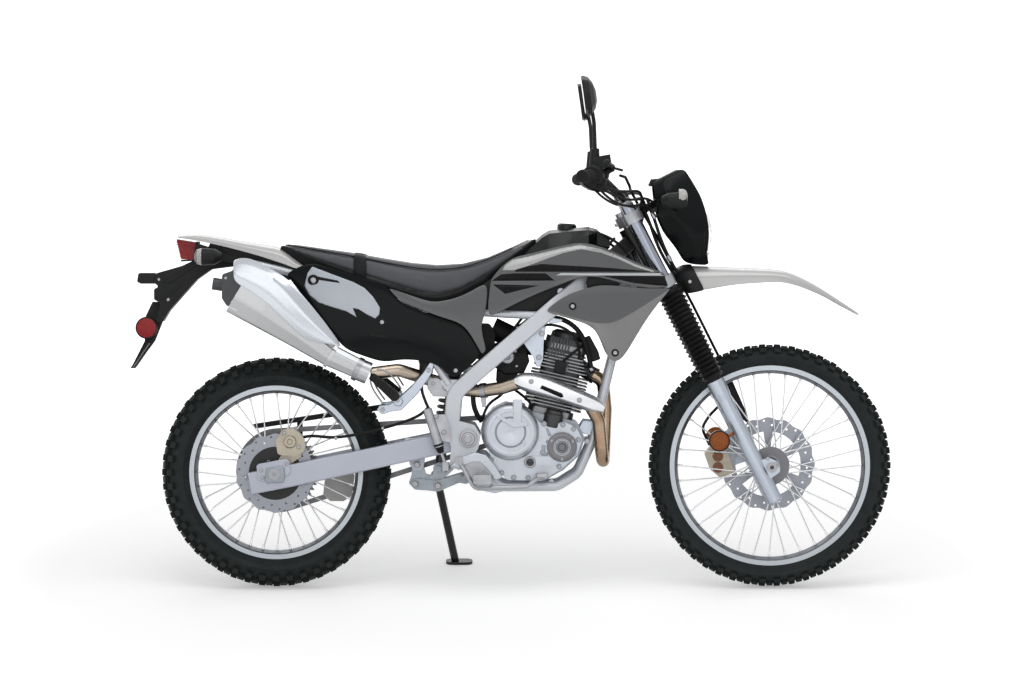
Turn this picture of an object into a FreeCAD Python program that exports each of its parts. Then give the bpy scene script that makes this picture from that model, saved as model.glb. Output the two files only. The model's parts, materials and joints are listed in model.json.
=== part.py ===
import FreeCAD, Part
import math
import os
from FreeCAD import Vector

# A dual sport motorcycle, leaning on its side stand. Millimetres and degrees.
# It is drawn upright: x runs forward, y to the rider's left, z up from the ground,
# and x = 0 is the rear axle of the nominal wheelbase. stand_up() then leans it over.
# Points of the steering assembly are (a, y, s): a forward of the steering axis and
# square to it, s up along it from the lower end of the head tube.

# Stance
WHEELBASE = 1380.0
RAKE = 26.7
LEAN = 10.0
HEAD_X = 1055.9
HEAD_Z = 863.8
PIVOT_X = 538.0
PIVOT_Z = 422.0

# Tyres and rims
FRONT_TYRE_RADIUS = 341.0
FRONT_TYRE_WIDTH = 74.0
FRONT_CROWN = 45.0
FRONT_RIM_RADIUS = 280.0
REAR_TYRE_RADIUS = 322.0
REAR_TYRE_WIDTH = 107.0
REAR_CROWN = 60.0
REAR_RIM_RADIUS = 243.0
RIM_DEPTH = 23.0
FLANGE_HEIGHT = 13.0
FLANGE_WALL = 3.5
LUG_PITCHES = 24
LUG_HEIGHT_FRONT = 11.0
LUG_HEIGHT_REAR = 14.0
SPOKES = 36
SPOKE_RADIUS = 1.9
SPOKE_SWING = 46.0
SEAT_GAP = 0.3

# Hubs, discs and axles
FRONT_AXLE_RADIUS = 8.5
REAR_AXLE_RADIUS = 9.0
AXLE_BORE_RADIUS = 5.5
HUB_CLEARANCE = 0.05
HUB_FLANGE_RADIUS = 37.0
HUB_BARREL_RADIUS = 22.0
HUB_HALF = 34.0
FLANGE_PLATE = 6.0
FRONT_DISC_RADIUS = 132.0
REAR_DISC_RADIUS = 111.0
DISC_THICKNESS = 4.0
FRONT_DISC_Y = 62.0
REAR_DISC_Y = -72.0
DISC_BAND = 40.0

# Chain drive
CHAIN_PITCH = 15.875
CHAIN_Y = 78.0
REAR_TEETH = 44
DRIVE_TEETH = 14
DRIVE_X = 610.0
DRIVE_Z = 438.0
CHAIN_PLATE = 3.2
CHAIN_HEIGHT = 14.0
SPROCKET_THICKNESS = 7.0
CHAIN_SIDE_GAP = 0.6
CHAIN_HALF_WIDTH = SPROCKET_THICKNESS / 2 + CHAIN_SIDE_GAP + CHAIN_PLATE

# Fork and steering
STEERING_OFFSET = 22.0
AXLE_LEAD = 33.0
LEG_SPACING = 194.0
TUBE_RADIUS = 18.5
SLIDER_RADIUS = 22.5
BOOT_RADIUS = 36.0
BOOT_RIBS = 20
HEAD_TUBE_LENGTH = 160.0
HEAD_TUBE_RADIUS = 28.0
STEM_RADIUS = 13.0
CLAMP_THICKNESS = 30.0
CLAMP_GAP = 6.0
SLIDER_LENGTH = 379.0
BAR_RADIUS = 11.1
BAR_HALF_WIDTH = 408.0
GRIP_RADIUS = 17.0
GRIP_LENGTH = 118.0

# Frame and swingarm
SPAR_WIDTH = 28.0
SPAR_DEPTH = 44.0
SPAR_Y = 110.0
CRADLE_RADIUS = 13.0
CRADLE_Y = 88.0
SUBFRAME_RADIUS = 11.0
SUBFRAME_Y = 78.0
CROSS_TUBE_RADIUS = 9.0
PIVOT_BOSS_RADIUS = 26.0
PIVOT_BOLT_RADIUS = 9.0
ARM_WIDTH = 26.0
ARM_DEPTH_FRONT = 58.0
ARM_DEPTH_REAR = 62.0
ARM_Y_FRONT = 78.0
ARM_Y_REAR = 108.0
ARM_TAIL = 72.0

# Engine and exhaust
CYLINDER_TILT = 13.0
CASE_RIGHT = 78.0
CASE_LEFT = 60.0
CLUTCH_RADIUS = 78.0
FIN_PITCH = 9.0
FIN_THICKNESS = 3.2
HEADER_RADIUS = 18.0

# Body
PANEL_THICKNESS = 3.5
REFLECTOR_RADIUS = 29.0

# Side stand
STAND_PIVOT = Vector(446.0, 136.0, 300.0)
STAND_FOOT_Y = 262.0
STAND_FOOT_X = 498.0
STAND_TUBE_RADIUS = 11.0
STAND_FOOT_THICKNESS = 8.0

RAKE_RAD = math.radians(RAKE)
LEAN_RAD = math.radians(LEAN)
AXIS_FORWARD = Vector(math.cos(RAKE_RAD), 0, math.sin(RAKE_RAD))
AXIS_UP = Vector(-math.sin(RAKE_RAD), 0, math.cos(RAKE_RAD))
HEAD = Vector(HEAD_X, 0, HEAD_Z)
PIVOT = Vector(PIVOT_X, 0, PIVOT_Z)
Y_AXIS = Vector(0, 1, 0)


def contact_height(radius, crown):
    """Height of a leaning wheel's axle, measured up the bike's own plane."""
    return radius - crown + crown / math.cos(LEAN_RAD)


def steer(a, y, s):
    """A point of the steering assembly."""
    return HEAD + AXIS_FORWARD * a + AXIS_UP * s + Y_AXIS * y


AXLE_A = STEERING_OFFSET + AXLE_LEAD
FRONT_AXLE_Z = contact_height(FRONT_TYRE_RADIUS, FRONT_CROWN)
AXLE_S = (FRONT_AXLE_Z - HEAD_Z - AXLE_A * AXIS_FORWARD.z) / AXIS_UP.z
FRONT_AXLE = steer(AXLE_A, 0, AXLE_S)
REAR_AXLE = Vector(FRONT_AXLE.x - WHEELBASE, 0, contact_height(REAR_TYRE_RADIUS, REAR_CROWN))
LEG_Y = LEG_SPACING / 2


# Shape helpers

def path_edges(points, bend, closed=False):
    """Straight runs joined by tangent arcs of radius bend."""
    edges = []
    count = len(points)
    corners = range(count) if closed else range(1, count - 1)
    trimmed = {}
    for i in corners:
        here, before, after = points[i], points[i - 1], points[(i + 1) % count]
        back = (before - here).normalize()
        ahead = (after - here).normalize()
        turn = math.pi - back.getAngle(ahead)
        radius = bend[i] if isinstance(bend, (list, tuple)) else bend
        if turn < 1e-4 or radius <= 0:
            trimmed[i] = (here, here, None)
            continue
        limit = 0.49 * min((before - here).Length, (after - here).Length)
        reach = min(radius * math.tan(turn / 2), limit)
        radius = reach / math.tan(turn / 2)
        inward = (back + ahead).normalize()
        centre = here + inward * (radius / math.cos(turn / 2))
        middle = centre - inward * radius
        trimmed[i] = (here + back * reach, here + ahead * reach, middle)
    spans = count if closed else count - 1
    for i in range(spans):
        j = (i + 1) % count
        start = trimmed[i][1] if i in trimmed else points[i]
        end = trimmed[j][0] if j in trimmed else points[j]
        if (end - start).Length > 1e-6:
            edges.append(Part.makeLine(start, end))
        if j in trimmed and trimmed[j][2] is not None:
            edges.append(Part.Arc(trimmed[j][0], trimmed[j][2], trimmed[j][1]).toShape())
    return edges


def pipe(points, radius, bend=40.0, bore=0.0):
    """A round tube along straight runs and arcs."""
    path = Part.Wire(path_edges(points, bend))
    tangent = (points[1] - points[0]).normalize()
    section = Part.Wire([Part.makeCircle(radius, points[0], tangent)])
    solid = path.makePipeShell([section], True, False)
    if bore:
        inner = Part.Wire([Part.makeCircle(bore, points[0], tangent)])
        solid = solid.cut(path.makePipeShell([inner], True, False))
    return solid


def box_rail(points, width, depth, bend=40.0):
    """A rectangular tube: width across the bike, depth in its side view."""
    path = Part.Wire(path_edges(points, bend))
    tangent = (points[1] - points[0]).normalize()
    across = Y_AXIS.cross(tangent).normalize()
    side = tangent.cross(across)
    corners = [points[0] + side * (u * width / 2) + across * (v * depth / 2)
               for u, v in ((-1, -1), (1, -1), (1, 1), (-1, 1))]
    section = Part.Wire(path_edges(corners, 5.0, closed=True))
    sweep = Part.BRepOffsetAPI.MakePipeShell(path)
    sweep.setBiNormalMode(Y_AXIS)
    sweep.add(section)
    sweep.build()
    sweep.makeSolid()
    return sweep.shape()


def rod(start, end, radius):
    """A round bar between two points."""
    return Part.makeCylinder(radius, (end - start).Length, start, end - start)


def tube(start, end, radius, bore):
    return rod(start, end, radius).cut(rod(start, end, bore))


def side_wire(points, y, bend=0.0):
    """A closed side-view outline at one y, with rounded corners."""
    return Part.Wire(path_edges([Vector(x, y, z) for x, z in points], bend, closed=True))


def plate(points, y_low, y_high, bend=0.0, holes=()):
    """A side-view outline, extruded across the bike. A hole is (x, z, radius)."""
    wires = [side_wire(points, y_low, bend)]
    for x, z, radius in holes:
        wires.append(Part.Wire([Part.makeCircle(radius, Vector(x, y_low, z), Y_AXIS)]))
    face = Part.makeFace(wires, "Part::FaceMakerBullseye")
    return face.extrude(Vector(0, y_high - y_low, 0))


def steer_plate(points, y_low, y_high, bend=0.0):
    """An outline of (a, s) points, extruded across the bike."""
    corners = [steer(a, y_low, s) for a, s in points]
    face = Part.Face(Part.Wire(path_edges(corners, bend, closed=True)))
    return face.extrude(Vector(0, y_high - y_low, 0))


def lathe(profile, centre):
    """A (y, radius) outline turned about a wheel's axis."""
    points = [Vector(0, y, r) for y, r in profile]
    face = Part.Face(Part.makePolygon(points + points[:1]))
    turned = face.revolve(Vector(0, 0, 0), Y_AXIS, 360)
    turned.translate(centre)
    return turned


def turned_along(profile, base, direction):
    """A (distance, radius) outline turned about an axis from base along direction."""
    points = [Vector(r, 0, d) for d, r in profile]
    face = Part.Face(Part.makePolygon(points + points[:1]))
    solid = face.revolve(Vector(0, 0, 0), Vector(0, 0, 1), 360)
    solid.Placement = FreeCAD.Placement(base, FreeCAD.Rotation(Vector(0, 0, 1), direction))
    return solid


def rounded_block(centre, size, bend, axis=Vector(0, 0, 1)):
    """A box with four rounded edges along one axis."""
    half = [size[0] / 2, size[1] / 2]
    corners = [Vector(u * half[0], v * half[1], -size[2] / 2)
               for u, v in ((-1, -1), (1, -1), (1, 1), (-1, 1))]
    face = Part.Face(Part.Wire(path_edges(corners, bend, closed=True)))
    solid = face.extrude(Vector(0, 0, size[2]))
    solid.Placement = FreeCAD.Placement(centre, FreeCAD.Rotation(Vector(0, 0, 1), axis))
    return solid


def mirrored(shape):
    return shape.mirror(Vector(0, 0, 0), Y_AXIS)


def pair(shape):
    """A piece and its mirror image on the other side."""
    return [shape, mirrored(shape)]


def fused(shapes):
    whole = shapes[0]
    if len(shapes) > 1:
        whole = whole.fuse(list(shapes[1:]))
    return whole.removeSplitter()


def ruled(sections, smooth=False):
    """A solid lofted through closed wires."""
    return Part.makeLoft(sections, True, not smooth)


# Wheels

def tread_profile(radius, width, crown, rim_radius, bead_half, lug_height):
    """Carcass outline points and the lugs that stand on its crown edges."""
    half = width / 2
    arc_centre = radius - crown

    def crown_radius(y):
        return arc_centre + math.sqrt(crown * crown - y * y)

    bed = rim_radius - FLANGE_HEIGHT + SEAT_GAP * 2
    edge_y, mid_y, centre_y = 0.96 * half, 0.68 * half, 0.34 * half
    right = [
        (bead_half, bed),
        (bead_half, rim_radius + 1.0),
        (0.97 * half, rim_radius + 0.42 * (radius - rim_radius)),
        (0.92 * half, crown_radius(edge_y) - 0.45 * lug_height),
        (mid_y, crown_radius(mid_y) - 0.8 * lug_height),
        (centre_y, crown_radius(centre_y) - lug_height),
    ]
    left = [(-y, r) for y, r in reversed(right)]
    outline = right + left
    centre_lug = (5, 6, [(0.9 * centre_y, crown_radius(centre_y)), (-0.9 * centre_y, crown_radius(centre_y))])
    shoulder_top = [(0.99 * half, crown_radius(edge_y)), (mid_y, crown_radius(mid_y)),
                    (1.15 * centre_y, crown_radius(1.15 * centre_y))]
    right_lug = (3, 5, shoulder_top)
    left_lug = (6, 8, [(-y, r) for y, r in reversed(shoulder_top)])
    return outline, {0: [centre_lug], 2: [right_lug, left_lug]}


def knobby_tyre(outline, lugs_by_phase, pitches, centre):
    """A tyre of flat facets: four angular steps to a pitch, with lugs on two of them."""
    steps = pitches * 4
    shares = (0.34, 0.5, 0.84, 1.0)

    def angle(step):
        turn, phase = divmod(step, 4)
        share = 0.0 if phase == 0 else shares[phase - 1]
        return 2 * math.pi * (turn + share) / pitches

    def place(point, theta):
        y, r = point
        return Vector(r * math.sin(theta), y, r * math.cos(theta))

    def facet(points):
        return Part.Face(Part.makePolygon(points + points[:1]))

    faces = []
    count = len(outline)
    for step in range(steps):
        start, end = angle(step), angle(step + 1)
        lugs = lugs_by_phase.get(step % 4, [])
        covered = {i for low, high, _ in lugs for i in range(low, high)}
        bands = [(outline[i], outline[(i + 1) % count]) for i in range(count) if i not in covered]
        for low, high, top in lugs:
            rail = [outline[low]] + top + [outline[high]]
            bands += list(zip(rail[:-1], rail[1:]))
            block = rail + [outline[i] for i in range(high - 1, low, -1)]
            for theta in (start, end):
                faces.append(facet([place(p, theta) for p in block]))
        for p, q in bands:
            faces.append(facet([place(p, start), place(q, start), place(q, end), place(p, end)]))
    shell = Part.makeShell(faces)
    shell.sewShape()
    solid = Part.makeSolid(shell)
    if solid.Volume < 0:
        solid.reverse()
    solid.translate(centre)
    return solid


def rim(radius, bead_half, centre):
    """A drop-centre alloy rim whose flanges hold the tyre's beads."""
    outer = bead_half + SEAT_GAP + FLANGE_WALL
    inner = bead_half + SEAT_GAP
    bed = radius - FLANGE_HEIGHT - SEAT_GAP
    floor = radius - RIM_DEPTH
    half = [(outer, radius), (inner, radius), (inner, bed), (0.5 * inner, bed - 4.0)]
    back = [(0.35 * inner, floor), (outer - 3.0, floor + 7.0), (outer, bed)]
    left = [(-y, r) for y, r in reversed(half)]
    right_back = [(-y, r) for y, r in reversed(back)]
    outline = half + left + [(-outer, bed)] + right_back[1:] + back[:2] + [(outer, bed)]
    return lathe(outline, centre)


def spoked_hub(rim_radius, axle_radius, flange_y, ends, centre):
    """A hub turned in one piece, with its laced spokes. ends is its length each side."""
    low, high = ends
    bore = axle_radius + HUB_CLEARANCE
    outline = [
        (low, bore), (low, 20.0), (-flange_y - FLANGE_PLATE, 25.0),
        (-flange_y - FLANGE_PLATE, HUB_FLANGE_RADIUS), (-flange_y, HUB_FLANGE_RADIUS),
        (-flange_y + 4.0, HUB_BARREL_RADIUS), (flange_y - 4.0, HUB_BARREL_RADIUS),
        (flange_y, HUB_FLANGE_RADIUS), (flange_y + FLANGE_PLATE, HUB_FLANGE_RADIUS),
        (flange_y + FLANGE_PLATE, 25.0), (high, 20.0), (high, bore),
    ]
    hub = lathe(outline, Vector(0, 0, 0))
    outer = rim_radius - RIM_DEPTH - 1.0
    head_radius = HUB_FLANGE_RADIUS - 5.0
    spokes = []
    for i in range(SPOKES):
        side = 1 if i % 2 == 0 else -1
        lead = 1 if (i // 2) % 2 == 0 else -1
        at_rim = 2 * math.pi * i / SPOKES
        at_hub = at_rim + lead * math.radians(SPOKE_SWING)
        head_y = side * (flange_y + FLANGE_PLATE / 2 + lead * 2.2)
        start = Vector(head_radius * math.sin(at_hub), head_y, head_radius * math.cos(at_hub))
        end = Vector(outer * math.sin(at_rim), side * 5.0, outer * math.cos(at_rim))
        spokes.append(rod(start, end, SPOKE_RADIUS))
    whole = hub.fuse(spokes)
    whole.translate(centre)
    return whole


def petal_disc(radius, y, inner_bolt_radius, waves, windows, centre):
    """A wave-edged brake disc on its spider, with drilled holes."""
    low = y - DISC_THICKNESS / 2
    points = []
    for i in range(waves * 6):
        theta = 2 * math.pi * i / (waves * 6)
        reach = radius - 2.6 + 2.6 * math.cos(waves * theta)
        points.append(Vector(reach * math.sin(theta), low, reach * math.cos(theta)))
    wires = [Part.makePolygon(points + points[:1])]
    wires.append(Part.Wire([Part.makeCircle(inner_bolt_radius, Vector(0, low, 0), Y_AXIS)]))
    band_inner = radius - DISC_BAND
    spider = inner_bolt_radius + 16.0
    for i in range(windows):
        middle = 2 * math.pi * (i + 0.5) / windows
        half_open = 0.72 * math.pi / windows
        window = []
        for reach, way in ((band_inner, 1), (spider, -1)):
            for j in range(5):
                theta = middle + way * half_open * (j / 2 - 1)
                window.append(Vector(reach * math.sin(theta), low, reach * math.cos(theta)))
        wires.append(Part.makePolygon(window + window[:1]))
    for i in range(waves * 2):
        theta = 2 * math.pi * (i + 0.5) / (waves * 2)
        reach = radius - (10.0 if i % 2 else 22.0)
        hole = Vector(reach * math.sin(theta), low, reach * math.cos(theta))
        wires.append(Part.Wire([Part.makeCircle(3.0, hole, Y_AXIS)]))
    disc = Part.makeFace(wires, "Part::FaceMakerBullseye").extrude(Vector(0, DISC_THICKNESS, 0))
    disc.translate(centre)
    return disc


def pitch_radius(teeth):
    return CHAIN_PITCH / (2 * math.sin(math.pi / teeth))


def sprocket(teeth, y, bore, centre):
    """A toothed plate with lightening windows."""
    low = y - SPROCKET_THICKNESS / 2
    tip = pitch_radius(teeth) + 4.0
    root = pitch_radius(teeth) - 5.2
    points = []
    for i in range(teeth):
        for share, reach in ((0.0, root), (0.22, root + 1.5), (0.40, tip), (0.60, tip), (0.78, root + 1.5)):
            theta = 2 * math.pi * (i + share) / teeth
            points.append(Vector(reach * math.sin(theta), low, reach * math.cos(theta)))
    wires = [Part.makePolygon(points + points[:1])]
    wires.append(Part.Wire([Part.makeCircle(bore, Vector(0, low, 0), Y_AXIS)]))
    for i in range(6):
        theta = math.pi * (2 * i + 1) / 6
        middle = (bore + root) / 2
        hole = Vector(middle * math.sin(theta), low, middle * math.cos(theta))
        wires.append(Part.Wire([Part.makeCircle((root - bore) * 0.30, hole, Y_AXIS)]))
    plate_solid = Part.makeFace(wires, "Part::FaceMakerBullseye").extrude(Vector(0, SPROCKET_THICKNESS, 0))
    plate_solid.translate(centre)
    return plate_solid


FRONT_BEAD = 0.59 * FRONT_TYRE_WIDTH / 2
REAR_BEAD = 0.56 * REAR_TYRE_WIDTH / 2


def front_tyre():
    outline, lugs = tread_profile(FRONT_TYRE_RADIUS, FRONT_TYRE_WIDTH, FRONT_CROWN,
                                  FRONT_RIM_RADIUS, FRONT_BEAD, LUG_HEIGHT_FRONT)
    return knobby_tyre(outline, lugs, LUG_PITCHES, FRONT_AXLE)


def rear_tyre():
    outline, lugs = tread_profile(REAR_TYRE_RADIUS, REAR_TYRE_WIDTH, REAR_CROWN,
                                  REAR_RIM_RADIUS, REAR_BEAD, LUG_HEIGHT_REAR)
    return knobby_tyre(outline, lugs, LUG_PITCHES, REAR_AXLE)


def front_hub():
    """The disc seats on the left end; the pulse ring is on the right end."""
    seat = FRONT_DISC_Y - DISC_THICKNESS / 2 - SEAT_GAP
    hub = spoked_hub(FRONT_RIM_RADIUS, FRONT_AXLE_RADIUS, HUB_HALF - FLANGE_PLATE, (-seat, seat),
                     Vector(0, 0, 0))
    disc_seat = lathe([(seat - 8.0, 15.0), (seat - 8.0, 46.0), (seat, 46.0), (seat, 15.0)], Vector(0, 0, 0))
    ring = lathe([(-HUB_HALF - 9.0, 24.0), (-HUB_HALF - 9.0, 54.0), (-HUB_HALF - 6.0, 54.0),
                  (-HUB_HALF - 6.0, 30.0), (-HUB_HALF - 1.0, 24.0)], Vector(0, 0, 0))
    whole = hub.fuse([disc_seat, ring])
    whole.translate(FRONT_AXLE)
    return whole


def rear_hub():
    """The disc seats on the right end and the sprocket on the left."""
    disc_seat_y = REAR_DISC_Y + DISC_THICKNESS / 2 + SEAT_GAP
    sprocket_seat_y = CHAIN_Y - SPROCKET_THICKNESS / 2 - SEAT_GAP
    hub = spoked_hub(REAR_RIM_RADIUS, REAR_AXLE_RADIUS, HUB_HALF, (disc_seat_y, sprocket_seat_y),
                     Vector(0, 0, 0))
    disc_seat = lathe([(disc_seat_y, 15.0), (disc_seat_y, 46.0), (disc_seat_y + 8.0, 46.0),
                       (disc_seat_y + 8.0, 15.0)], Vector(0, 0, 0))
    carrier = lathe([(sprocket_seat_y - 12.0, 15.0), (sprocket_seat_y - 12.0, 52.0),
                     (sprocket_seat_y, 60.0), (sprocket_seat_y, 15.0)], Vector(0, 0, 0))
    whole = hub.fuse([disc_seat, carrier])
    whole.translate(REAR_AXLE)
    return whole


def chain_sides():
    """Ends of the two straight runs, above and below the sprockets."""
    rear = REAR_AXLE
    drive = Vector(DRIVE_X, 0, DRIVE_Z)
    big, small = pitch_radius(REAR_TEETH), pitch_radius(DRIVE_TEETH)
    along = (drive - rear).normalize()
    lean = math.asin((big - small) / (drive - rear).Length)
    normal = Vector(-along.z, 0, along.x)
    runs = []
    for way in (1, -1):
        out = normal * (way * math.cos(lean)) + along * math.sin(lean)
        runs.append((rear + out * big, drive + out * small))
    return rear, drive, runs


def chain():
    """One closed loop: two plate bands, tied by rollers along the straight runs."""
    rear, drive, (upper, lower) = chain_sides()
    big, small = pitch_radius(REAR_TEETH), pitch_radius(DRIVE_TEETH)
    along = (drive - rear).normalize()
    bands = []
    for offset in (CHAIN_HALF_WIDTH - CHAIN_PLATE, -CHAIN_HALF_WIDTH):
        low = CHAIN_Y + offset
        rings = []
        for reach in (CHAIN_HEIGHT / 2, -CHAIN_HEIGHT / 2):
            def out(point, centre, radius):
                grown = centre + (point - centre).normalize() * (radius + reach)
                return Vector(grown.x, low, grown.z)
            up_rear, up_drive = out(upper[0], rear, big), out(upper[1], drive, small)
            down_rear, down_drive = out(lower[0], rear, big), out(lower[1], drive, small)
            back = rear - along * (big + reach)
            front = drive + along * (small + reach)
            rings.append(Part.Wire([
                Part.makeLine(up_rear, up_drive),
                Part.Arc(up_drive, Vector(front.x, low, front.z), down_drive).toShape(),
                Part.makeLine(down_drive, down_rear),
                Part.Arc(down_rear, Vector(back.x, low, back.z), up_rear).toShape(),
            ]))
        face = Part.makeFace(rings, "Part::FaceMakerBullseye")
        bands.append(face.extrude(Vector(0, CHAIN_PLATE, 0)))
    rollers = []
    for start, end in (upper, lower):
        run = end - start
        count = int(run.Length / CHAIN_PITCH)
        for i in range(4, count - 1, 2):
            middle = start + run * (i / count)
            low = Vector(middle.x, CHAIN_Y - CHAIN_HALF_WIDTH - 1.5, middle.z)
            rollers.append(rod(low, low + Y_AXIS * (2 * CHAIN_HALF_WIDTH + 3.0), 4.0))
    return bands[0].fuse(bands[1:] + rollers)


# Frame, swingarm and rear suspension

SPAR_LINE = [(986.0, 962.0, 20.0), (900.0, 888.0, 56.0), (775.0, 786.0, 98.0), (560.0, 602.0, SPAR_Y),
             (499.0, 545.0, SPAR_Y), (490.0, 440.0, SPAR_Y)]
CRADLE_LINE = [(1006.0, 885.0, 10.0), (938.0, 640.0, 40.0), (908.0, 520.0, 52.0), (884.0, 415.0, 60.0),
               (842.0, 322.0, 74.0), (785.0, 287.0, CRADLE_Y), (632.0, 286.0, CRADLE_Y),
               (590.0, 318.0, 94.0), (552.0, 350.0, 102.0), (508.0, 352.0, 104.0)]


def spar_rail():
    return box_rail([Vector(x, y, z) for x, z, y in SPAR_LINE], SPAR_WIDTH, SPAR_DEPTH, 60.0)


def cradle_tube():
    return pipe([Vector(x, y, z) for x, z, y in CRADLE_LINE], CRADLE_RADIUS, 45.0)


def frame():
    """Perimeter frame: head tube, two box spars, pivot plates and a round-tube cradle."""
    head_low = steer(0, 0, 0)
    head = rod(head_low, steer(0, 0, HEAD_TUBE_LENGTH), HEAD_TUBE_RADIUS)
    spar = spar_rail()
    cradle = cradle_tube()
    plate_low = SPAR_Y - SPAR_WIDTH / 2
    plate_outline = [(468, 470), (512, 470), (556, 458), (572, 430), (566, 396), (548, 366), (500, 334),
                     (486, 345), (490, 400)]
    pivot_plate = plate(plate_outline, plate_low, plate_low + SPAR_WIDTH, 12.0)
    gusset = plate([(455, 585), (520, 585), (505, 540), (478, 555)], SPAR_Y - 9, SPAR_Y + 5, 6.0)
    pieces = [head]
    for side in (spar, cradle, pivot_plate, gusset):
        pieces += pair(side)
    cross = [
        rod(Vector(512, -SPAR_Y, 346), Vector(512, SPAR_Y, 346), 12.0),
        rod(Vector(548, -SPAR_Y, 606), Vector(548, SPAR_Y, 606), 14.0),
        rod(Vector(770, -CRADLE_Y, 287), Vector(770, CRADLE_Y, 287), 10.0),
        rod(Vector(1012, 0, 905), Vector(960, 0, 780), 16.0),
    ]
    neck_side = [(1036, 872), (975, 985), (925, 925), (930, 850), (965, 760), (985, 762), (1003, 838)]
    neck = plate(neck_side, -13, 13, 8.0)
    shock_ear = plate([(500, 626), (516, 626), (560, 600), (552, 590), (530, 596), (494, 628)],
                      21.0, 29.0, 5.0)
    pieces += cross + [neck] + pair(shock_ear) + subframe_tubes() + [stand_mount()]
    whole = fused(pieces)
    bore = rod(head_low - AXIS_UP * 5, steer(0, 0, HEAD_TUBE_LENGTH + 5), STEM_RADIUS + 0.5)
    bolt_hole = rod(PIVOT - Y_AXIS * 200, PIVOT + Y_AXIS * 200, PIVOT_BOLT_RADIUS + HUB_CLEARANCE)
    return whole.cut(bore).cut(bolt_hole)


def subframe_tubes():
    """Rails under the seat, their braces, and the small cross tubes."""
    rail = [(745, 762, 100), (650, 766, 88), (560, 772, SUBFRAME_Y), (420, 782, SUBFRAME_Y),
            (230, 836, SUBFRAME_Y), (60, 878, SUBFRAME_Y), (-60, 906, SUBFRAME_Y)]
    brace = [(484, 572, SPAR_Y), (448, 628, 106), (360, 712, 86), (235, 822, SUBFRAME_Y)]
    pieces = []
    for line in (rail, brace):
        pieces += pair(pipe([Vector(x, y, z) for x, z, y in line], SUBFRAME_RADIUS, 60.0))
    lowest = min(SEAT_STATIONS, key=lambda row: row[2])
    seat_rest = (lowest[0], lowest[2] - CROSS_TUBE_RADIUS - SEAT_GAP, SUBFRAME_Y)
    for x, z, half in (seat_rest, (60, 878, SUBFRAME_Y), tank_rest() + (SPAR_Y - 18,)):
        pieces.append(rod(Vector(x, -half, z), Vector(x, half, z), CROSS_TUBE_RADIUS))
    return pieces


def tank_rest():
    """Where a cross tube between the spars touches the sloping bottom of the tank."""
    low, high = TANK_STATIONS[3], TANK_STATIONS[4]
    share = 0.4
    x, z = (low[i] + (high[i] - low[i]) * share for i in (0, 2))
    slope = math.atan2(high[2] - low[2], high[0] - low[0])
    reach = CROSS_TUBE_RADIUS + SEAT_GAP
    return x + reach * math.sin(slope), z - reach * math.cos(slope)


def arm_section(along, up, centre, width, depth):
    corners = [centre + Y_AXIS * (u * width / 2) + up * (v * depth / 2)
               for u, v in ((-1, -1), (1, -1), (1, 1), (-1, 1))]
    return Part.Wire(path_edges(corners, 5.0, closed=True))


def swingarm():
    """Two tapered box arms, the pivot tube, the bridge and the slotted axle ends."""
    along = (PIVOT - REAR_AXLE).normalize()
    up = Vector(-along.z, 0, along.x)
    length = (PIVOT - REAR_AXLE).Length
    drop = 14.0
    stations = [(-ARM_TAIL, ARM_Y_REAR, ARM_DEPTH_REAR), (60.0, ARM_Y_REAR, ARM_DEPTH_REAR),
                (length - 60.0, ARM_Y_FRONT + 2.0, ARM_DEPTH_FRONT), (length, ARM_Y_FRONT, 46.0)]
    sections = []
    for reach, y, depth in stations:
        fall = drop * (1 - max(reach, 0.0) / length)
        centre = REAR_AXLE + along * reach - up * fall + Y_AXIS * y
        sections.append(arm_section(along, up, centre, ARM_WIDTH, depth))
    arm = ruled(sections)
    pivot_tube = rod(PIVOT - Y_AXIS * (ARM_Y_FRONT + 13), PIVOT + Y_AXIS * (ARM_Y_FRONT + 13),
                     PIVOT_BOSS_RADIUS)
    bridge_at = REAR_AXLE + along * (length - 160.0) - up * 2.0
    bridge = rounded_block(bridge_at, (42.0, 2 * ARM_Y_FRONT + 8.0, 46.0), 6.0)
    ear = plate([(366, 376), (418, 384), (412, 340), (404, 328), (386, 328), (374, 344)],
                LINK_EAR_Y, LINK_EAR_Y + 8.0, 6.0)
    whole = fused(pair(arm) + [pivot_tube, bridge] + pair(ear))
    whole = whole.cut(rod(LINK_TOP - Y_AXIS * 60, LINK_TOP + Y_AXIS * 60, LINK_PIN_RADIUS + HUB_CLEARANCE))
    whole = whole.cut(rod(PIVOT - Y_AXIS * 200, PIVOT + Y_AXIS * 200, PIVOT_BOLT_RADIUS + HUB_CLEARANCE))
    slot_half = 16.0
    slot = rod(REAR_AXLE - Y_AXIS * 200, REAR_AXLE + Y_AXIS * 200, REAR_AXLE_RADIUS + HUB_CLEARANCE)
    back = REAR_AXLE - along * slot_half
    slot = slot.fuse(rod(back - Y_AXIS * 200, back + Y_AXIS * 200, REAR_AXLE_RADIUS + HUB_CLEARANCE))
    return whole.cut(slot)


def pivot_bolt():
    end = SPAR_Y + SPAR_WIDTH / 2
    shank = rod(PIVOT - Y_AXIS * end, PIVOT + Y_AXIS * end, PIVOT_BOLT_RADIUS)
    heads = [rod(PIVOT + Y_AXIS * (way * (end + SEAT_GAP)), PIVOT + Y_AXIS * (way * (end + 9.0)), 17.0)
             for way in (-1, 1)]
    necks = [rod(PIVOT + Y_AXIS * (way * (end - 1)), PIVOT + Y_AXIS * (way * (end + 2)), PIVOT_BOLT_RADIUS)
             for way in (-1, 1)]
    return fused([shank] + heads + necks)


SHOCK_TOP = Vector(505.0, 0.0, 640.0)
SHOCK_FOOT = Vector(455.0, 0.0, 334.0)
LINK_TOP = Vector(394.0, 0.0, 345.0)
LINK_FRONT = Vector(530.0, 0.0, 306.0)
LINK_EAR_Y = 24.0
LINK_PIN_RADIUS = 7.0


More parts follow.
